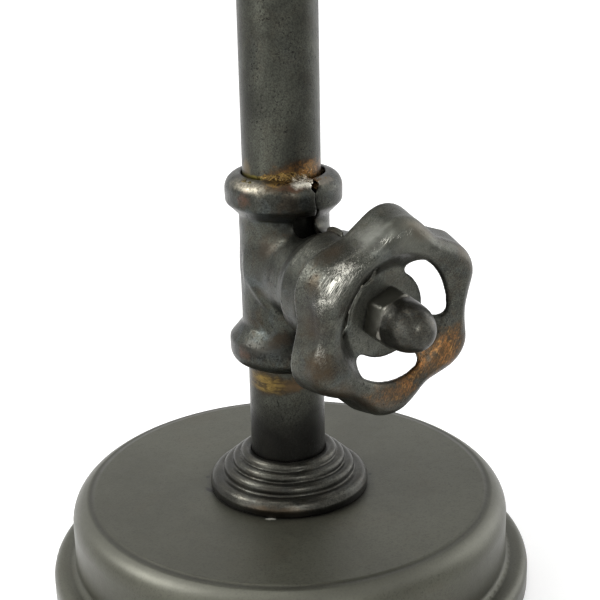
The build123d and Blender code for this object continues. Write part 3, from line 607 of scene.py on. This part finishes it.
def bare_scratches(g):
    """Bare scratched metal on the upper left of the rim, and sparser around it."""
    strokes = g.streaks(stroke_turn(146), 0.00018, 0.009, 0.02)
    scratches = g.plus(strokes, g.streaks(stroke_turn(134), 0.0002, 0.007))
    patchy = g.noise(0.003, 5, 0.7)
    rubbed = g.times(g.step(scratches, 0.86, 1.08), g.step(patchy, 0.32, 0.54))
    sparse = g.times(g.step(scratches, 1.08, 1.25), g.step(patchy, 0.36, 0.56))
    stains = (
        (28.8, 143, 60.2, (3, 8.5, 3), bare, rubbed),
        (28.6, 138, 60.2, (5, 14, 4), bare, g.times(sparse, 0.75)),
        (25.6, 126, 61.2, (0.9, 12, 1.5), bare, g.times(sparse, 0.6)),
        (27.4, 98, 61.2, (1, 8, 1.5), bare, g.times(sparse, 0.6)),
        (28.5, 183, 60, (2, 5, 2), bare, g.times(rubbed, 0.35)),
    )
    wheel_stains(g, stains, soft=0.8)


def wheel_material():
    g = Graph("wheel_steel")
    roughness, height = aged_steel(g, (0.073, 0.075, 0.062), 0.012, 0.4, 0.35, 0.75)
    # painted shade in corners and crevices
    g.cover(black, g.crevice_shade(0.004), 0.35)
    # painted highlight: the top of the rim paler
    top_highlight = (29, 84, 60, (10, 13, 6), (0.115, 0.118, 0.098), 0.6)
    wheel_stains(g, [top_highlight], grain=0.006)
    # painted shade in the flutes
    g.cover((0.018, 0.017, 0.013), flute_shade(g))
    # painted light: the hub face paler where it sits in the dish
    hub_painted_light = (0, 0, 54.5, (13, 13, 3), (0.11, 0.112, 0.095), 0.5)
    wheel_stains(g, [hub_painted_light])
    # painted highlight on the flank of the upper left flute
    flute_highlight = (29.5, 109, 57, (6, 6, 5), (0.2, 0.205, 0.185), 0.6)
    wheel_stains(g, [flute_highlight], soft=1.0, grain=0.006)
    # painted shade: a dark band along the rim beside that flute
    rim_shade_line = (26.6, 106, 60.6, (1.4, 6, 2), (0.026, 0.025, 0.02), 0.6)
    wheel_stains(g, [rim_shade_line])
    brushed = g.streaks(stroke_turn(142), 0.00022, 0.006)
    g.cover((0.15, 0.15, 0.125), g.step(brushed, 0.56, 0.76), 0.4)
    lobe_stains(g)
    wheel_rust(g)
    bare_scratches(g)
    height = g.plus(height, g.times(brushed, 0.6))
    return g.finish(roughness, height, 0.00008, 0.9)


def nut_material():
    """The hexagon is paler than the dome, with a painted highlight along the ridge between them."""
    g = Graph("nut_steel")
    roughness, height = aged_steel(g, (0.052, 0.051, 0.042), 0.006, 0.35, 0.2, 0.45, (0.26, 0.4))
    inputs = {0: g.place, 1: axis}
    along = g.add("VectorMath", inputs, operation="DOT_PRODUCT").outputs["Value"]
    shoulder = (hub_face + acorn_hex_height + axis_root @ axis) * MM
    hexagon = g.step(along, shoulder, shoulder - 0.0004)
    g.cover((0.108, 0.106, 0.088), hexagon, 0.75)
    # painted highlight along the ridge between hexagon and dome
    ridge = g.step(g.math("ABSOLUTE", g.plus(along, -shoulder)), 0.0005, 0.0001)
    g.cover((0.24, 0.23, 0.2), ridge, 0.4)
    # painted shade in crevices
    g.cover(black, g.crevice_shade(0.0015), 0.25)
    # paler sharp edges: edge wear and painted highlight
    g.cover((0.2, 0.195, 0.165), g.edge_wear_and_highlight(0.0008), 0.35)
    return g.finish(roughness, height, 0.00004, 0.85)


def base_material():
    g = Graph("base_paint")
    clouds = g.noise(0.05, 5, 0.6, 0.5)
    g.colour = g.mix(g.step(clouds, 0.3, 0.7), (0.051, 0.051, 0.037), (0.07, 0.0705, 0.052))
    warm = g.step(g.noise(0.022, 5, 0.65, 0.8), 0.5, 0.75)
    g.cover((0.066, 0.058, 0.038), warm, 0.35)
    grain = g.noise(0.0007, 4, 0.7)
    g.cover((0.036, 0.034, 0.026), g.step(grain, 0.45, 0.75))
    chips = g.step(g.noise(0.0022, 3, 0.6), 0.735, 0.76)
    g.cover(black, chips, 0.8)
    # painted shade in corners and crevices
    g.cover(black, g.crevice_shade(0.006), 0.75)
    # three dark chips and a bare scratch on the flat top
    for x, y, radii, turn, tint, amount, ragged in (
        (-21.3, 19.6, (0.9, 0.7, 1), 0, black, 0.9, 0.3),
        (25.6, -12.8, (0.8, 0.7, 1), 0, black, 0.9, 0.3),
        (-25.9, 10.9, (1, 2.4, 1), 0, black, 0.9, 0.3),
        (-20.2, -18.8, (0.8, 1.6, 1), 0.9, bare, 0.8, 0.4),
    ):
        place = (x * MM, y * MM, base_height * MM)
        stain(g, place, radii, (0, 0, turn), tint, amount, ragged, grain=0.001)
    # the shoulder of the top tier, paler with a painted highlight, and the crease inside it, a groove
    # darkened with painted shade
    flat = g.add("VectorMath", {0: g.place, 1: (1, 1, 0)}, operation="MULTIPLY").outputs[0]
    out = g.length(flat)
    shoulder = g.times(g.step(out, 0.0692, 0.0705), g.step(out, 0.0745, 0.0725))
    g.cover((0.12, 0.12, 0.1), shoulder, 0.35)
    crease = g.step(g.math("ABSOLUTE", g.plus(out, -base_crease * MM)), 0.0017, 0.0)
    g.cover(black, crease, 0.4)
    roughness = g.scale(g.noise(0.004, 4, 0.6), 0.34, 0.48)
    height = g.plus(g.plus(grain, g.times(clouds, 6.0)), g.times(crease, -8.0))
    return g.finish(roughness, height, 0.00004, 0.6)


def collar_material():
    """A brown stain, painted shade in its crevices and painted shade at its foot."""
    g = Graph("collar_steel")
    roughness, height = aged_steel(g, (0.05, 0.049, 0.04), 0.012, 0.25, 0.1, 0.3, (0.26, 0.38))
    # painted shade in crevices
    g.cover(black, g.crevice_shade(0.0025), 0.5)
    round_stains(g, [(-134, 27.0, 36.0, (3.0, 12.0, 2.2), umber, 0.6)])
    # painted shade at the foot, against the base
    foot = g.height_band(0.030, 0.0362, 0.0008, 0.0005)
    g.cover(black, foot, 0.75)
    return g.finish(roughness, height, 0.00003, 0.85)


def braze_material():
    g = Graph("braze")
    clouds = g.noise(0.0026, 5, 0.65, 2.0)
    g.colour = g.mix(g.step(clouds, 0.36, 0.6), (0.03, 0.018, 0.008), (0.12, 0.075, 0.02))
    drops = g.step(g.noise(0.002, 3, 0.6, 2.5, stretch=(1, 1, 0.5)), 0.54, 0.66)
    g.cover((0.16, 0.1, 0.03), drops)
    silver = g.mix(g.step(clouds, 0.35, 0.6), (0.16, 0.14, 0.1), bare)
    stains = (
        (-96, 15.4, 145, (3, 3.8, 2.2), silver, 1),
        (-80, 15, 145.6, (3, 3, 2.4), brown, 0.9),
        (-165, 14.5, 145.2, (3, 5, 2), (0.06, 0.052, 0.01), 0.9),
    )
    round_stains(g, stains)
    return g.finish(g.scale(clouds, 0.18, 0.36), clouds, 0.0008, 0.88)


# ------------------------ materials of the other pieces


def plain_metal(name, first, second, roughness=(0.3, 0.45), size=0.006, metallic=1.0, depth=0.00002):
    g = Graph(name)
    g.colour = g.mix(g.step(g.noise(size, 4, 0.6, 0.4), 0.3, 0.7), first, second)
    fine = g.noise(0.0005, 3, 0.65)
    return g.finish(g.scale(g.noise(size * 0.5, 4, 0.6), *roughness), fine, depth, metallic)


def plain_matt(name, first, second, roughness=(0.6, 0.8), size=0.004, depth=0.00005):
    g = Graph(name)
    clouds = g.noise(size, 4, 0.6, 0.4)
    g.colour = g.mix(g.step(clouds, 0.3, 0.7), first, second)
    fine = g.noise(size * 0.2, 4, 0.65)
    return g.finish(g.scale(clouds, *roughness), fine, depth, 0.0)


def linen_material():
    """Plain woven cloth around the shade: threads run round it and up it."""
    g = Graph("shade_linen")
    threads_round = 1050
    thread_rise = 0.0009
    x, y, z = g.add("SeparateXYZ", {0: g.place}).outputs
    warp = g.math("SINE", g.times(g.math("ARCTAN2", y, x), threads_round))
    weft = g.math("SINE", g.times(z, 2 * pi / thread_rise))
    over = g.times(warp, weft)
    slubs_up = g.scale(g.noise(0.0012, 3, 0.6, 0.3, stretch=(1, 1, 14)), -0.5, 0.5)
    slubs_round = g.scale(g.noise(0.0012, 3, 0.6, 0.3, stretch=(10, 10, 1)), -0.5, 0.5)
    tone = g.plus(slubs_up, slubs_round)
    g.colour = g.mix(g.step(tone, -0.35, 0.35), (0.44, 0.39, 0.3), (0.66, 0.6, 0.49))
    g.cover((0.3, 0.26, 0.19), g.scale(over, 0.0, 0.25))
    height = g.plus(over, g.times(tone, 1.5))
    return g.finish(0.9, height, 0.00012, 0.0, Sheen_Weight=0.25, Sheen_Roughness=0.5)


def glass_material():
    g = Graph("bulb_glass")
    clouds = g.noise(0.02, 3, 0.5)
    g.colour = g.mix(clouds, (0.93, 0.93, 0.91), (0.98, 0.98, 0.97))
    gloss = g.scale(clouds, 0.22, 0.32)
    return g.finish(gloss, g.noise(0.0008), 0.00002, 0.0, Transmission_Weight=0.35, IOR=1.5)


brass_tones = ((0.16, 0.1, 0.035), (0.34, 0.22, 0.08))

# the two tones of each, then its roughness, the size of its clouds and, for iron, metallic and depth
plain_metals = {
    "zinc_steel": ((0.42, 0.42, 0.4), (0.58, 0.57, 0.52)),
    "ballast_iron": ((0.05, 0.045, 0.04), (0.1, 0.085, 0.07), (0.6, 0.8), 0.008, 0.6, 0.0002),
    "socket_brass": (*brass_tones, (0.32, 0.5), 0.012),
    "contact_brass": ((0.55, 0.38, 0.14), (0.7, 0.5, 0.2), (0.25, 0.35)),
    "bulb_metal": ((0.5, 0.5, 0.48), (0.66, 0.65, 0.62), (0.25, 0.4)),
    "harp_wire": ((0.2, 0.15, 0.08), (0.36, 0.28, 0.14), (0.3, 0.45), 0.01),
    "finial_brass": (*brass_tones, (0.25, 0.4), 0.008),
}

# the two tones of each, then its roughness, the size of its clouds and the depth of its grain
plain_matts = {
    "felt": ((0.018, 0.02, 0.018), (0.035, 0.037, 0.034), (0.9, 1.0), 0.003, 0.0004),
    "grommet_rubber": ((0.012, 0.012, 0.012), (0.022, 0.022, 0.021), (0.5, 0.65)),
    "liner_paper": ((0.3, 0.22, 0.12), (0.42, 0.32, 0.19)),
    "core_plastic": ((0.02, 0.018, 0.016), (0.035, 0.032, 0.028), (0.4, 0.5)),
    "switch_plastic": ((0.025, 0.022, 0.02), (0.04, 0.036, 0.032), (0.4, 0.5)),
    "shade_tape": ((0.3, 0.26, 0.19), (0.42, 0.37, 0.28), (0.85, 0.95), 0.002, 0.0001),
    "lead_plastic": ((0.015, 0.015, 0.015), (0.03, 0.03, 0.03), (0.45, 0.55)),
}

materials = {
    "pipe_steel": pipe_material(),
    "tee_steel": tee_material(),
    "braze": braze_material(),
    "wheel_steel": wheel_material(),
    "nut_steel": nut_material(),
    "base_paint": base_material(),
    "collar_steel": collar_material(),
    "bulb_glass": glass_material(),
    "shade_linen": linen_material(),
    **{name: plain_metal(name, *values) for name, values in plain_metals.items()},
    **{name: plain_matt(name, *values) for name, values in plain_matts.items()},
}


def dress_cad_nodes():
    """Each CAD node gets the material of its slot in the record."""
    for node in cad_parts.values():
        slots = node.data.materials
        for index in range(len(slots)):
            slots[index] = materials[slots[index].name.split(".")[0]]


# ------------------------ shapes from distance fields


def rounded_outline(corners, steps=10):
    """A closed outline, as dense points, from corners that each have a place and a rounding."""
    places = [np.array(corner[:2], float) for corner in corners]
    outline = []
    for i, corner in enumerate(places):
        rounding = corners[i][2]
        if rounding == 0:
            outline.append(corner)
            continue
        before = places[i - 1] - corner
        after = places[(i + 1) % len(places)] - corner
        before /= np.linalg.norm(before)
        after /= np.linalg.norm(after)
        half = np.arccos(np.clip(before @ after, -1, 1)) / 2
        middle = (before + after) / np.linalg.norm(before + after)
        centre = corner + middle * rounding / sin(half)
        start = corner + before * rounding / tan(half) - centre
        end = corner + after * rounding / tan(half) - centre
        sweep = atan2(start[0] * end[1] - start[1] * end[0], start @ end)
        for k in range(steps + 1):
            outline.append(centre + turned(*start, -sweep * k / steps))
    return np.array(outline)


class Plan:
    """Signed distance to a closed outline, looked up from a table over the plane."""

    def __init__(self, outline, step=0.3, margin=6.0):
        self.step = step
        self.low = outline.min(axis=0) - margin
        counts = np.ceil((outline.max(axis=0) + margin - self.low) / step).astype(int) + 1
        rulers = [self.low[i] + step * np.arange(counts[i]) for i in (0, 1)]
        x, y = np.meshgrid(*rulers, indexing="ij")
        nearest = np.full(x.shape, np.inf)
        inside = np.zeros(x.shape, bool)
        for start, end in zip(outline, np.roll(outline, -1, axis=0)):
            run = end - start
            along = ((x - start[0]) * run[0] + (y - start[1]) * run[1]) / max(run @ run, 1e-12)
            along = np.clip(along, 0, 1)
            gap = (x - start[0] - along * run[0]) ** 2 + (y - start[1] - along * run[1]) ** 2
            nearest = np.minimum(nearest, gap)
            if start[1] != end[1]:
                crosses = (y < start[1]) != (y < end[1])
                inside ^= crosses & (x < start[0] + (y - start[1]) * run[0] / run[1])
        self.table = np.where(inside, -1, 1) * np.sqrt(nearest)

    def __call__(self, x, y):
        last = np.array(self.table.shape) - 1.001
        i = np.clip((x - self.low[0]) / self.step, 0, last[0])
        j = np.clip((y - self.low[1]) / self.step, 0, last[1])
        i0, j0 = i.astype(int), j.astype(int)
        fi, fj = i - i0, j - j0
        t = self.table
        low = t[i0, j0] * (1 - fj) + t[i0, j0 + 1] * fj
        high = t[i0 + 1, j0] * (1 - fj) + t[i0 + 1, j0 + 1] * fj
        return low * (1 - fi) + high * fi


def turned_plan(*corners):
    """Distance to a round solid: each corner has a radius, a place along the axis and a rounding."""
    past_axis = -30.0
    foot, top = (past_axis, corners[0][1], 0), (past_axis, corners[-1][1], 0)
    return Plan(rounded_outline((foot, *corners, top)))


def overlap(*fields):
    """The solid that lies inside all of these."""
    return reduce(np.maximum, fields)


def soft_min(a, b, reach):
    """The smaller of two distances, blended where they are within reach of each other."""
    near = np.maximum(reach - np.abs(a - b), 0) / reach
    return np.minimum(a, b) - near**2 * reach / 4


def soft_max(a, b, reach):
    return -soft_min(-a, -b, reach)


def ripple(x, y, z, height, length, seed, waves=9):
    """Smooth waves of about that height and length, the same each run."""
    draw = np.random.default_rng(seed)
    total = np.zeros_like(x)
    for _ in range(waves):
        direction = draw.normal(size=3)
        direction *= 2 * pi / (length * draw.uniform(0.7, 1.6) * np.linalg.norm(direction))
        total += np.sin(x * direction[0] + y * direction[1] + z * direction[2] + draw.uniform(0, 2 * pi))
    return height * (total / sqrt(waves))


def surface(name, field, low, high, pitch, body, node, slot, place=None):
    """A mesh piece that stands for a CAD node and fills the space where field is below 0.

    Field, low, high and pitch are in millimetres, in a frame of their own where there is a place: it takes
    them to the row frame.
    """
    low, high = np.array(low, float), np.array(high, float)
    counts = np.ceil((high - low) / pitch).astype(int) + 1
    x, y, z = np.meshgrid(*(low[i] + pitch * np.arange(counts[i]) for i in range(3)), indexing="ij")
    values = np.clip(field(x, y, z), -3 * pitch, 3 * pitch).astype(np.float32)
    grid = openvdb.FloatGrid(3 * pitch)
    grid.copyFromArray(np.ascontiguousarray(values))
    points, quads = grid.convertToQuads(0.0)
    points = low + points.astype(float) * pitch
    if place is not None:
        points = points @ place[:, :3].T + place[:, 3]
    mesh = bpy.data.meshes.new(name)
    mesh.from_pydata(points * MM, [], quads[:, ::-1].tolist())
    mesh.update()
    mesh.shade_smooth()
    mesh.materials.append(materials[slot])
    piece = new_object(name, mesh)
    even_out(piece)
    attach(piece, body)
    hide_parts(node)


def even_out(piece):
    """Smooths a mesh a little, for good."""
    modifier = piece.modifiers.new("even", "SMOOTH")
    modifier.factor = 0.5
    modifier.iterations = 2
    bpy.context.view_layer.update()
    evaluated = piece.evaluated_get(bpy.context.evaluated_depsgraph_get())
    mesh = bpy.data.meshes.new_from_object(evaluated)
    piece.modifiers.clear()
    piece.data = mesh


# ------------------------ tee halves

branch_band_start = branch_mouth - branch_lip - branch_band

tee_run_plan = turned_plan(
    (tee_collar, tee_bottom, lower_lip),
    (tee_collar, tee_bottom + lower_lip + lower_band, tee_bend),
    (tee_body, tee_bottom + lower_lip + lower_band + lower_cone, tee_bend),
    (tee_body, tee_top - upper_lip - upper_band - upper_cone, tee_bend),
    (tee_collar, tee_top - upper_lip - upper_band, tee_bend),
    (tee_collar, tee_top, upper_lip),
)
tee_branch_plan = turned_plan(
    (tee_body, 0, 0),
    (tee_body, branch_band_start - branch_cone, tee_bend),
    (branch_collar, branch_band_start, tee_bend),
    (branch_collar, branch_mouth, branch_lip),
)


def tee_frame(x, y, z):
    """Distance across the tee, distance forward and height, from world millimetres."""
    across, backward = turned(x - tee_foot[0], y - tee_foot[1], tee_turn)
    return across, -backward, z


def body_crease(across, forward, z):
    """Height of the fold above the tee's round body."""
    around = tee_body * (np.arctan2(-forward, across) - crease_heading)
    along, off = turned(around, z - crease_height, -crease_slant)
    return crease_rise * np.exp(-((off / crease_width) ** 2) - (along / crease_length) ** 4)


def tee_shell(across, forward, z):
    along, over = turned(forward, z - branch_height, -branch_droop)
    from_run = np.hypot(across, forward)
    from_branch = np.hypot(across, over)
    outer = soft_min(tee_run_plan(from_run, z), tee_branch_plan(from_branch, along), crotch_blend)
    outer = outer + ripple(across, forward, z, *tee_waves) - body_crease(across, forward, z)
    foot_hole = overlap(from_run - tee_foot_hole, z - tee_bottom - 2 * tee_sheet)
    top_hole = overlap(from_run - tee_mouth, tee_top - 2 * tee_sheet - z)
    front_hole = overlap(from_branch - tee_mouth, branch_mouth - 2 * tee_sheet - along)
    shell = overlap(outer, -(outer + tee_sheet), along - branch_mouth)
    return overlap(shell, -foot_hole, -top_hole, -front_hole)


def seam_line(forward, z):
    """Where the seam lies across the tee. At the back it is straight."""
    fade = np.clip((stray_end - forward) / stray_fade, 0, 1)
    stray = stray_reach * np.exp(-(((z - stray_height) / stray_spread) ** 2)) * fade
    return (forward > 0) * (seam_offset + stray + seam_wave * np.sin(z * seam_wave_pace))


def tee_slot(across, forward, z):
    along, off = turned(across - slot_across, z - slot_height, slot_slant)
    return overlap(np.abs(along) - slot_half_length, np.abs(off) - slot_half_width, slot_back - forward)


def tee_tear(across, forward, z):
    wide = overlap(tear_left - across, across - tear_right)
    deep = overlap(tear_back - forward, forward - tear_front)
    return overlap(np.abs(z - tear_height) - tear_half_height, wide, deep)


def torn_flap(across, forward, z):
    """A sliver of sheet that stands up along the seam on top of the branch."""
    lean = across - flap_across - flap_lean * (z - flap_lean_height)
    crest = flap_crest - flap_arch * (forward - flap_crest_forward) ** 2
    ends = np.abs(forward - flap_forward) - flap_half_length
    return overlap(np.abs(lean) - flap_half_sheet, z - crest, flap_foot - z, ends)


def tee_left(x, y, z):
    place = tee_frame(x, y, z)
    across, forward, z = place
    beyond_seam = across - seam_line(forward, z) + seam_gap / 2
    return overlap(tee_shell(*place), beyond_seam, -tee_slot(*place), -tee_tear(*place))


def tee_right(x, y, z):
    place = tee_frame(x, y, z)
    across, forward, z = place
    beyond_seam = seam_line(forward, z) + seam_gap / 2 - across
    half = overlap(tee_shell(*place), beyond_seam, -tee_slot(*place))
    return np.minimum(half, torn_flap(*place))


def make_tee():
    pitch = 0.38
    left, right = -tee_collar - 2, tee_collar + 2.5
    front, back = -branch_mouth - 3, tee_collar + 2
    bottom, top = tee_bottom - 1, tee_top + 1
    past_seam_left, past_seam_right = -2.0, 4.0
    surface(
        "tee_left_shell", tee_left, (left, front, bottom), (past_seam_right, back, top), pitch,
        "lamp", "tee_left_half", "tee_steel",
    )
    surface(
        "tee_right_shell", tee_right, (past_seam_left, front, bottom), (right, back, top), pitch,
        "lamp", "tee_right_half", "tee_steel",
    )


# ------------------------ handwheel


def wheel_outline():
    """Valleys and lobes in turn, seen along the axis."""
    corners = []
    pitch = 2 * pi / wheel_lobes
    for lobe in range(wheel_lobes):
        for angle, reach, rounding in (
            (pitch * lobe + wheel_turn, wheel_valley_reach, wheel_valley_round),
            (pitch * (lobe + 0.5) + wheel_turn, wheel_lobe_reach, wheel_lobe_round),
        ):
            corners.append((reach * cos(angle), reach * sin(angle), rounding))
    return rounded_outline(corners)


wheel_plan = Plan(wheel_outline())


def wheel_outside(u, v, w):
    """The wheel as a solid: a flared skirt, a rounded edge, and a front that dips to the hub."""
    radius = np.hypot(u, v)
    flare = np.clip(wheel_front - wheel_edge - w, 0, None) * tan(wheel_flare)
    skirt = (wheel_plan(u, v) - flare) * cos(wheel_flare)
    fall = np.clip((wheel_dish - radius) / (wheel_dish - wheel_hub), 0, 1)
    slope = wheel_hub_depth / (wheel_dish - wheel_hub) * 6 * fall * (1 - fall)
    crown = wheel_crown * (np.clip(radius, wheel_dish, None) - wheel_crest) ** 2 * (1 - fall)
    dip = wheel_hub_depth * fall * fall * (3 - 2 * fall)
    top = (w - wheel_front + crown + dip) / np.sqrt(1 + slope**2)
    a, b = skirt + wheel_edge, w - wheel_front + wheel_edge
    edge = np.hypot(np.maximum(a, 0), np.maximum(b, 0)) + np.minimum(np.maximum(a, b), 0) - wheel_edge
    return overlap(edge, top) + ripple(u, v, w, *wheel_waves)


def wheel_field(u, v, w):
    """A sheet just inside that solid, with round edges at its back and around the dish's openings."""
    radius = np.hypot(u, v)
    angle = np.arctan2(v, u)
    half_sheet = wheel_sheet / 2
    past_edge = np.maximum(wheel_front - wheel_depth + half_sheet - w, 0)
    middle = (opening_outer + wheel_hub) / 2
    half_width = (opening_outer - wheel_hub) / 2
    reach = opening_span / 2 - half_width / middle
    for opening in range(opening_count):
        centre = pi / wheel_lobes + wheel_turn + 2 * pi / opening_count * opening
        off = np.abs((angle - centre + pi) % (2 * pi) - pi)
        past = np.maximum(off - reach, 0) * middle
        past_edge = np.maximum(past_edge, half_width + half_sheet - np.hypot(radius - middle, past))
    sheet = np.hypot(wheel_outside(u, v, w) + half_sheet, past_edge) - half_sheet
    return overlap(sheet, spindle_hole - radius)


def make_wheel():
    reach = 37.0
    low = (-reach, -reach, wheel_front - wheel_depth - 1)
    high = (reach, reach, wheel_front + 1)
    pitch = 0.365
    surface(
        "handwheel_disc", wheel_field, low, high, pitch,
        "handwheel_group", "handwheel", "wheel_steel", branch_place,
    )


# ------------------------ cap nut


def acorn_field(u, v, w):
    radius = np.hypot(u, v)
    rise = w - hub_face
    above = rise - acorn_hex_height
    hexagon = np.full_like(u, -acorn_flats)
    for face in range(6):
        a = acorn_turn + pi / 6 + pi / 3 * face
        hexagon = soft_max(hexagon, u * cos(a) + v * sin(a) - acorn_flats / 2, acorn_corner_blend)
    chamfer = (radius - acorn_flats / 2 - chamfer_start) * chamfer_sine + above * chamfer_cosine
    for top in (above, chamfer):
        hexagon = soft_max(hexagon, top, acorn_shoulder_blend)
    dome_height = acorn_height - acorn_hex_height
    swell = (radius / acorn_dome) ** acorn_bulge + (np.maximum(above, 0) / dome_height) ** acorn_bulge
    dome = (swell ** (1 / acorn_bulge) - 1) * acorn_dome
    whole = soft_min(hexagon, dome, acorn_foot_blend) + ripple(u, v, w, *acorn_waves)
    bore = overlap(radius - spindle_hole, rise - acorn_bore)
    return overlap(whole, -rise, -bore)


def make_acorn_nut():
    reach = 10.5
    low = (-reach, -reach, hub_face - 1)
    high = (reach, reach, hub_face + acorn_height + 1)
    pitch = 0.3
    surface(
        "cap_nut", acorn_field, low, high, pitch,
        "handwheel_group", "acorn_nut", "nut_steel", branch_place,
    )


# ------------------------ stepped collar

collar_skirt_plan = turned_plan(
    (collar_foot, 0, 0),
    (collar_foot, collar_foot_height, 0),
    (ring_crest_radii[0], ring_crest_heights[0] - ring_beads[0] / 2, 0),
    (ring_crest_radii[-1], ring_crest_heights[-1] - ring_beads[-1], 0),
)


def collar_field(x, y, z):
    radius = np.hypot(x, y)
    rise = z - base_height
    rings = collar_skirt_plan(radius, rise)
    for crest, height, bead in zip(ring_crest_radii, ring_crest_heights, ring_beads):
        ring = np.hypot(radius - crest, rise - height + bead) - bead
        rings = soft_min(rings, ring, ring_blend)
    neck = overlap(radius - pipe_radius - collar_neck, rise - ring_crest_heights[-1] + collar_neck_drop)
    rings = soft_min(rings, neck, collar_neck_blend) + ripple(x, y, z, *collar_waves)
    return overlap(rings, pipe_radius + collar_clearance - radius, -rise)


def make_collar():
    margin = 0.8
    reach = collar_foot + margin
    low = (-reach, -reach, base_height - margin)
    high = (reach, reach, base_height + ring_crest_heights[-1] + margin)
    pitch = 0.36
    surface("ringed_collar", collar_field, low, high, pitch, "lamp", "stepped_collar", "collar_steel")


# ------------------------ braze


def braze_field(x, y, z):
    """A ring of film that bridges the gap between pipe and collar, and ends within the pipe's wall."""
    across, forward, height = tee_frame(x, y, z)
    from_run = np.hypot(across, forward)
    collar = overlap(tee_run_plan(from_run, height), tee_mouth - from_run)
    pipe = np.hypot(x, y) - pipe_radius
    heading = np.degrees(np.arctan2(y, x))
    off = np.abs((heading - braze_middle + 180) % 360 - 180) / braze_spread
    bridge = braze_bridge * (1 - off**2) + ripple(x, y, z, *braze_lumps)
    bridge = np.clip(bridge, 0.01, None)
    ripples = np.tanh(ripple(x, y, z, *braze_ripples))
    film = soft_min(collar, pipe, bridge) + braze_skin - braze_ripple * ripples
    ends = overlap(height - tee_top - braze_above, tee_top - braze_below - height)
    sides = overlap(from_run - braze_outside, -braze_into_pipe - pipe)
    return overlap(film, ends, sides, -tee_slot(across, forward, height))


def make_braze():
    low = (-18.5, -18.5, tee_top - 3.5)
    high = (18.5, 6.0, tee_top + 3.0)
    pitch = 0.25
    surface("braze_film", braze_field, low, high, pitch, "lamp", "braze_bead", "braze")


# ------------------------ room


def make_world():
    """Dim light all round, which looks white where it is seen."""
    g = Graph("studio", bpy.data.worlds)
    ambient = g.add("Background", {"Color": (1, 1, 1), "Strength": 0.35})
    white = g.add("Background", {"Color": (1, 1, 1), "Strength": 1.0})
    both = g.add("MixShader", {0: g.seen_rays(), 1: ambient.outputs[0], 2: white.outputs[0]})
    bpy.context.scene.world = g.output("OutputWorld", both)


def floor_material():
    """Matt, with a glow where it is seen, which grows towards the white far away."""
    g = Graph("floor")
    tone = g.mix(g.noise(0.3), (0.78, 0.78, 0.78), (0.82, 0.82, 0.82))
    matt = g.add("BsdfDiffuse", {"Color": tone})
    brightness = g.scale(g.step(g.length(g.place), 0.7, 2.2), 0.42, 1.0)
    glow = g.add("Emission", {"Strength": g.times(g.seen_rays(), brightness)})
    both = g.add("AddShader", {0: matt.outputs[0], 1: glow.outputs[0]})
    return g.output("OutputMaterial", both)


def make_floor():
    size = 6.0
    corners = [(-size, -size, 0), (size, -size, 0), (size, size, 0), (-size, size, 0)]
    mesh = bpy.data.meshes.new("floor")
    mesh.from_pydata(corners, [], [(0, 1, 2, 3)])
    mesh.materials.append(floor_material())
    floor = new_object("floor", mesh)


def make_lamps():
    target = Vector((0, 0, 0.12))
    for name, place, width, height, power in (
        ("overhead", (-0.25, 0.35, 1.5), 1.2, 1.2, 11),
        ("front", (-0.42, -1.25, 0.75), 0.35, 0.35, 5.5),
        ("back_left", (-0.95, 0.5, 0.98), 0.6, 0.6, 15),
        ("left", (-1.3, -0.1, 0.4), 0.7, 0.9, 5),
        ("right", (1.2, -0.25, 0.5), 0.9, 1.0, 7),
    ):
        data = bpy.data.lights.new(name, "AREA")
        data.shape = "RECTANGLE"
        data.size = width
        data.size_y = height
        data.energy = power
        light = new_object(name, data)
        light.location = place
        light.visible_camera = False
        light.rotation_euler = (target - Vector(place)).to_track_quat("-Z", "Y").to_euler()


# ------------------------ assembly

make_camera()
make_world()
make_floor()
make_lamps()
dress_cad_nodes()
make_tee()
make_wheel()
make_acorn_nut()
make_braze()
make_collar()

bpy.context.scene.view_settings.view_transform = "Standard"
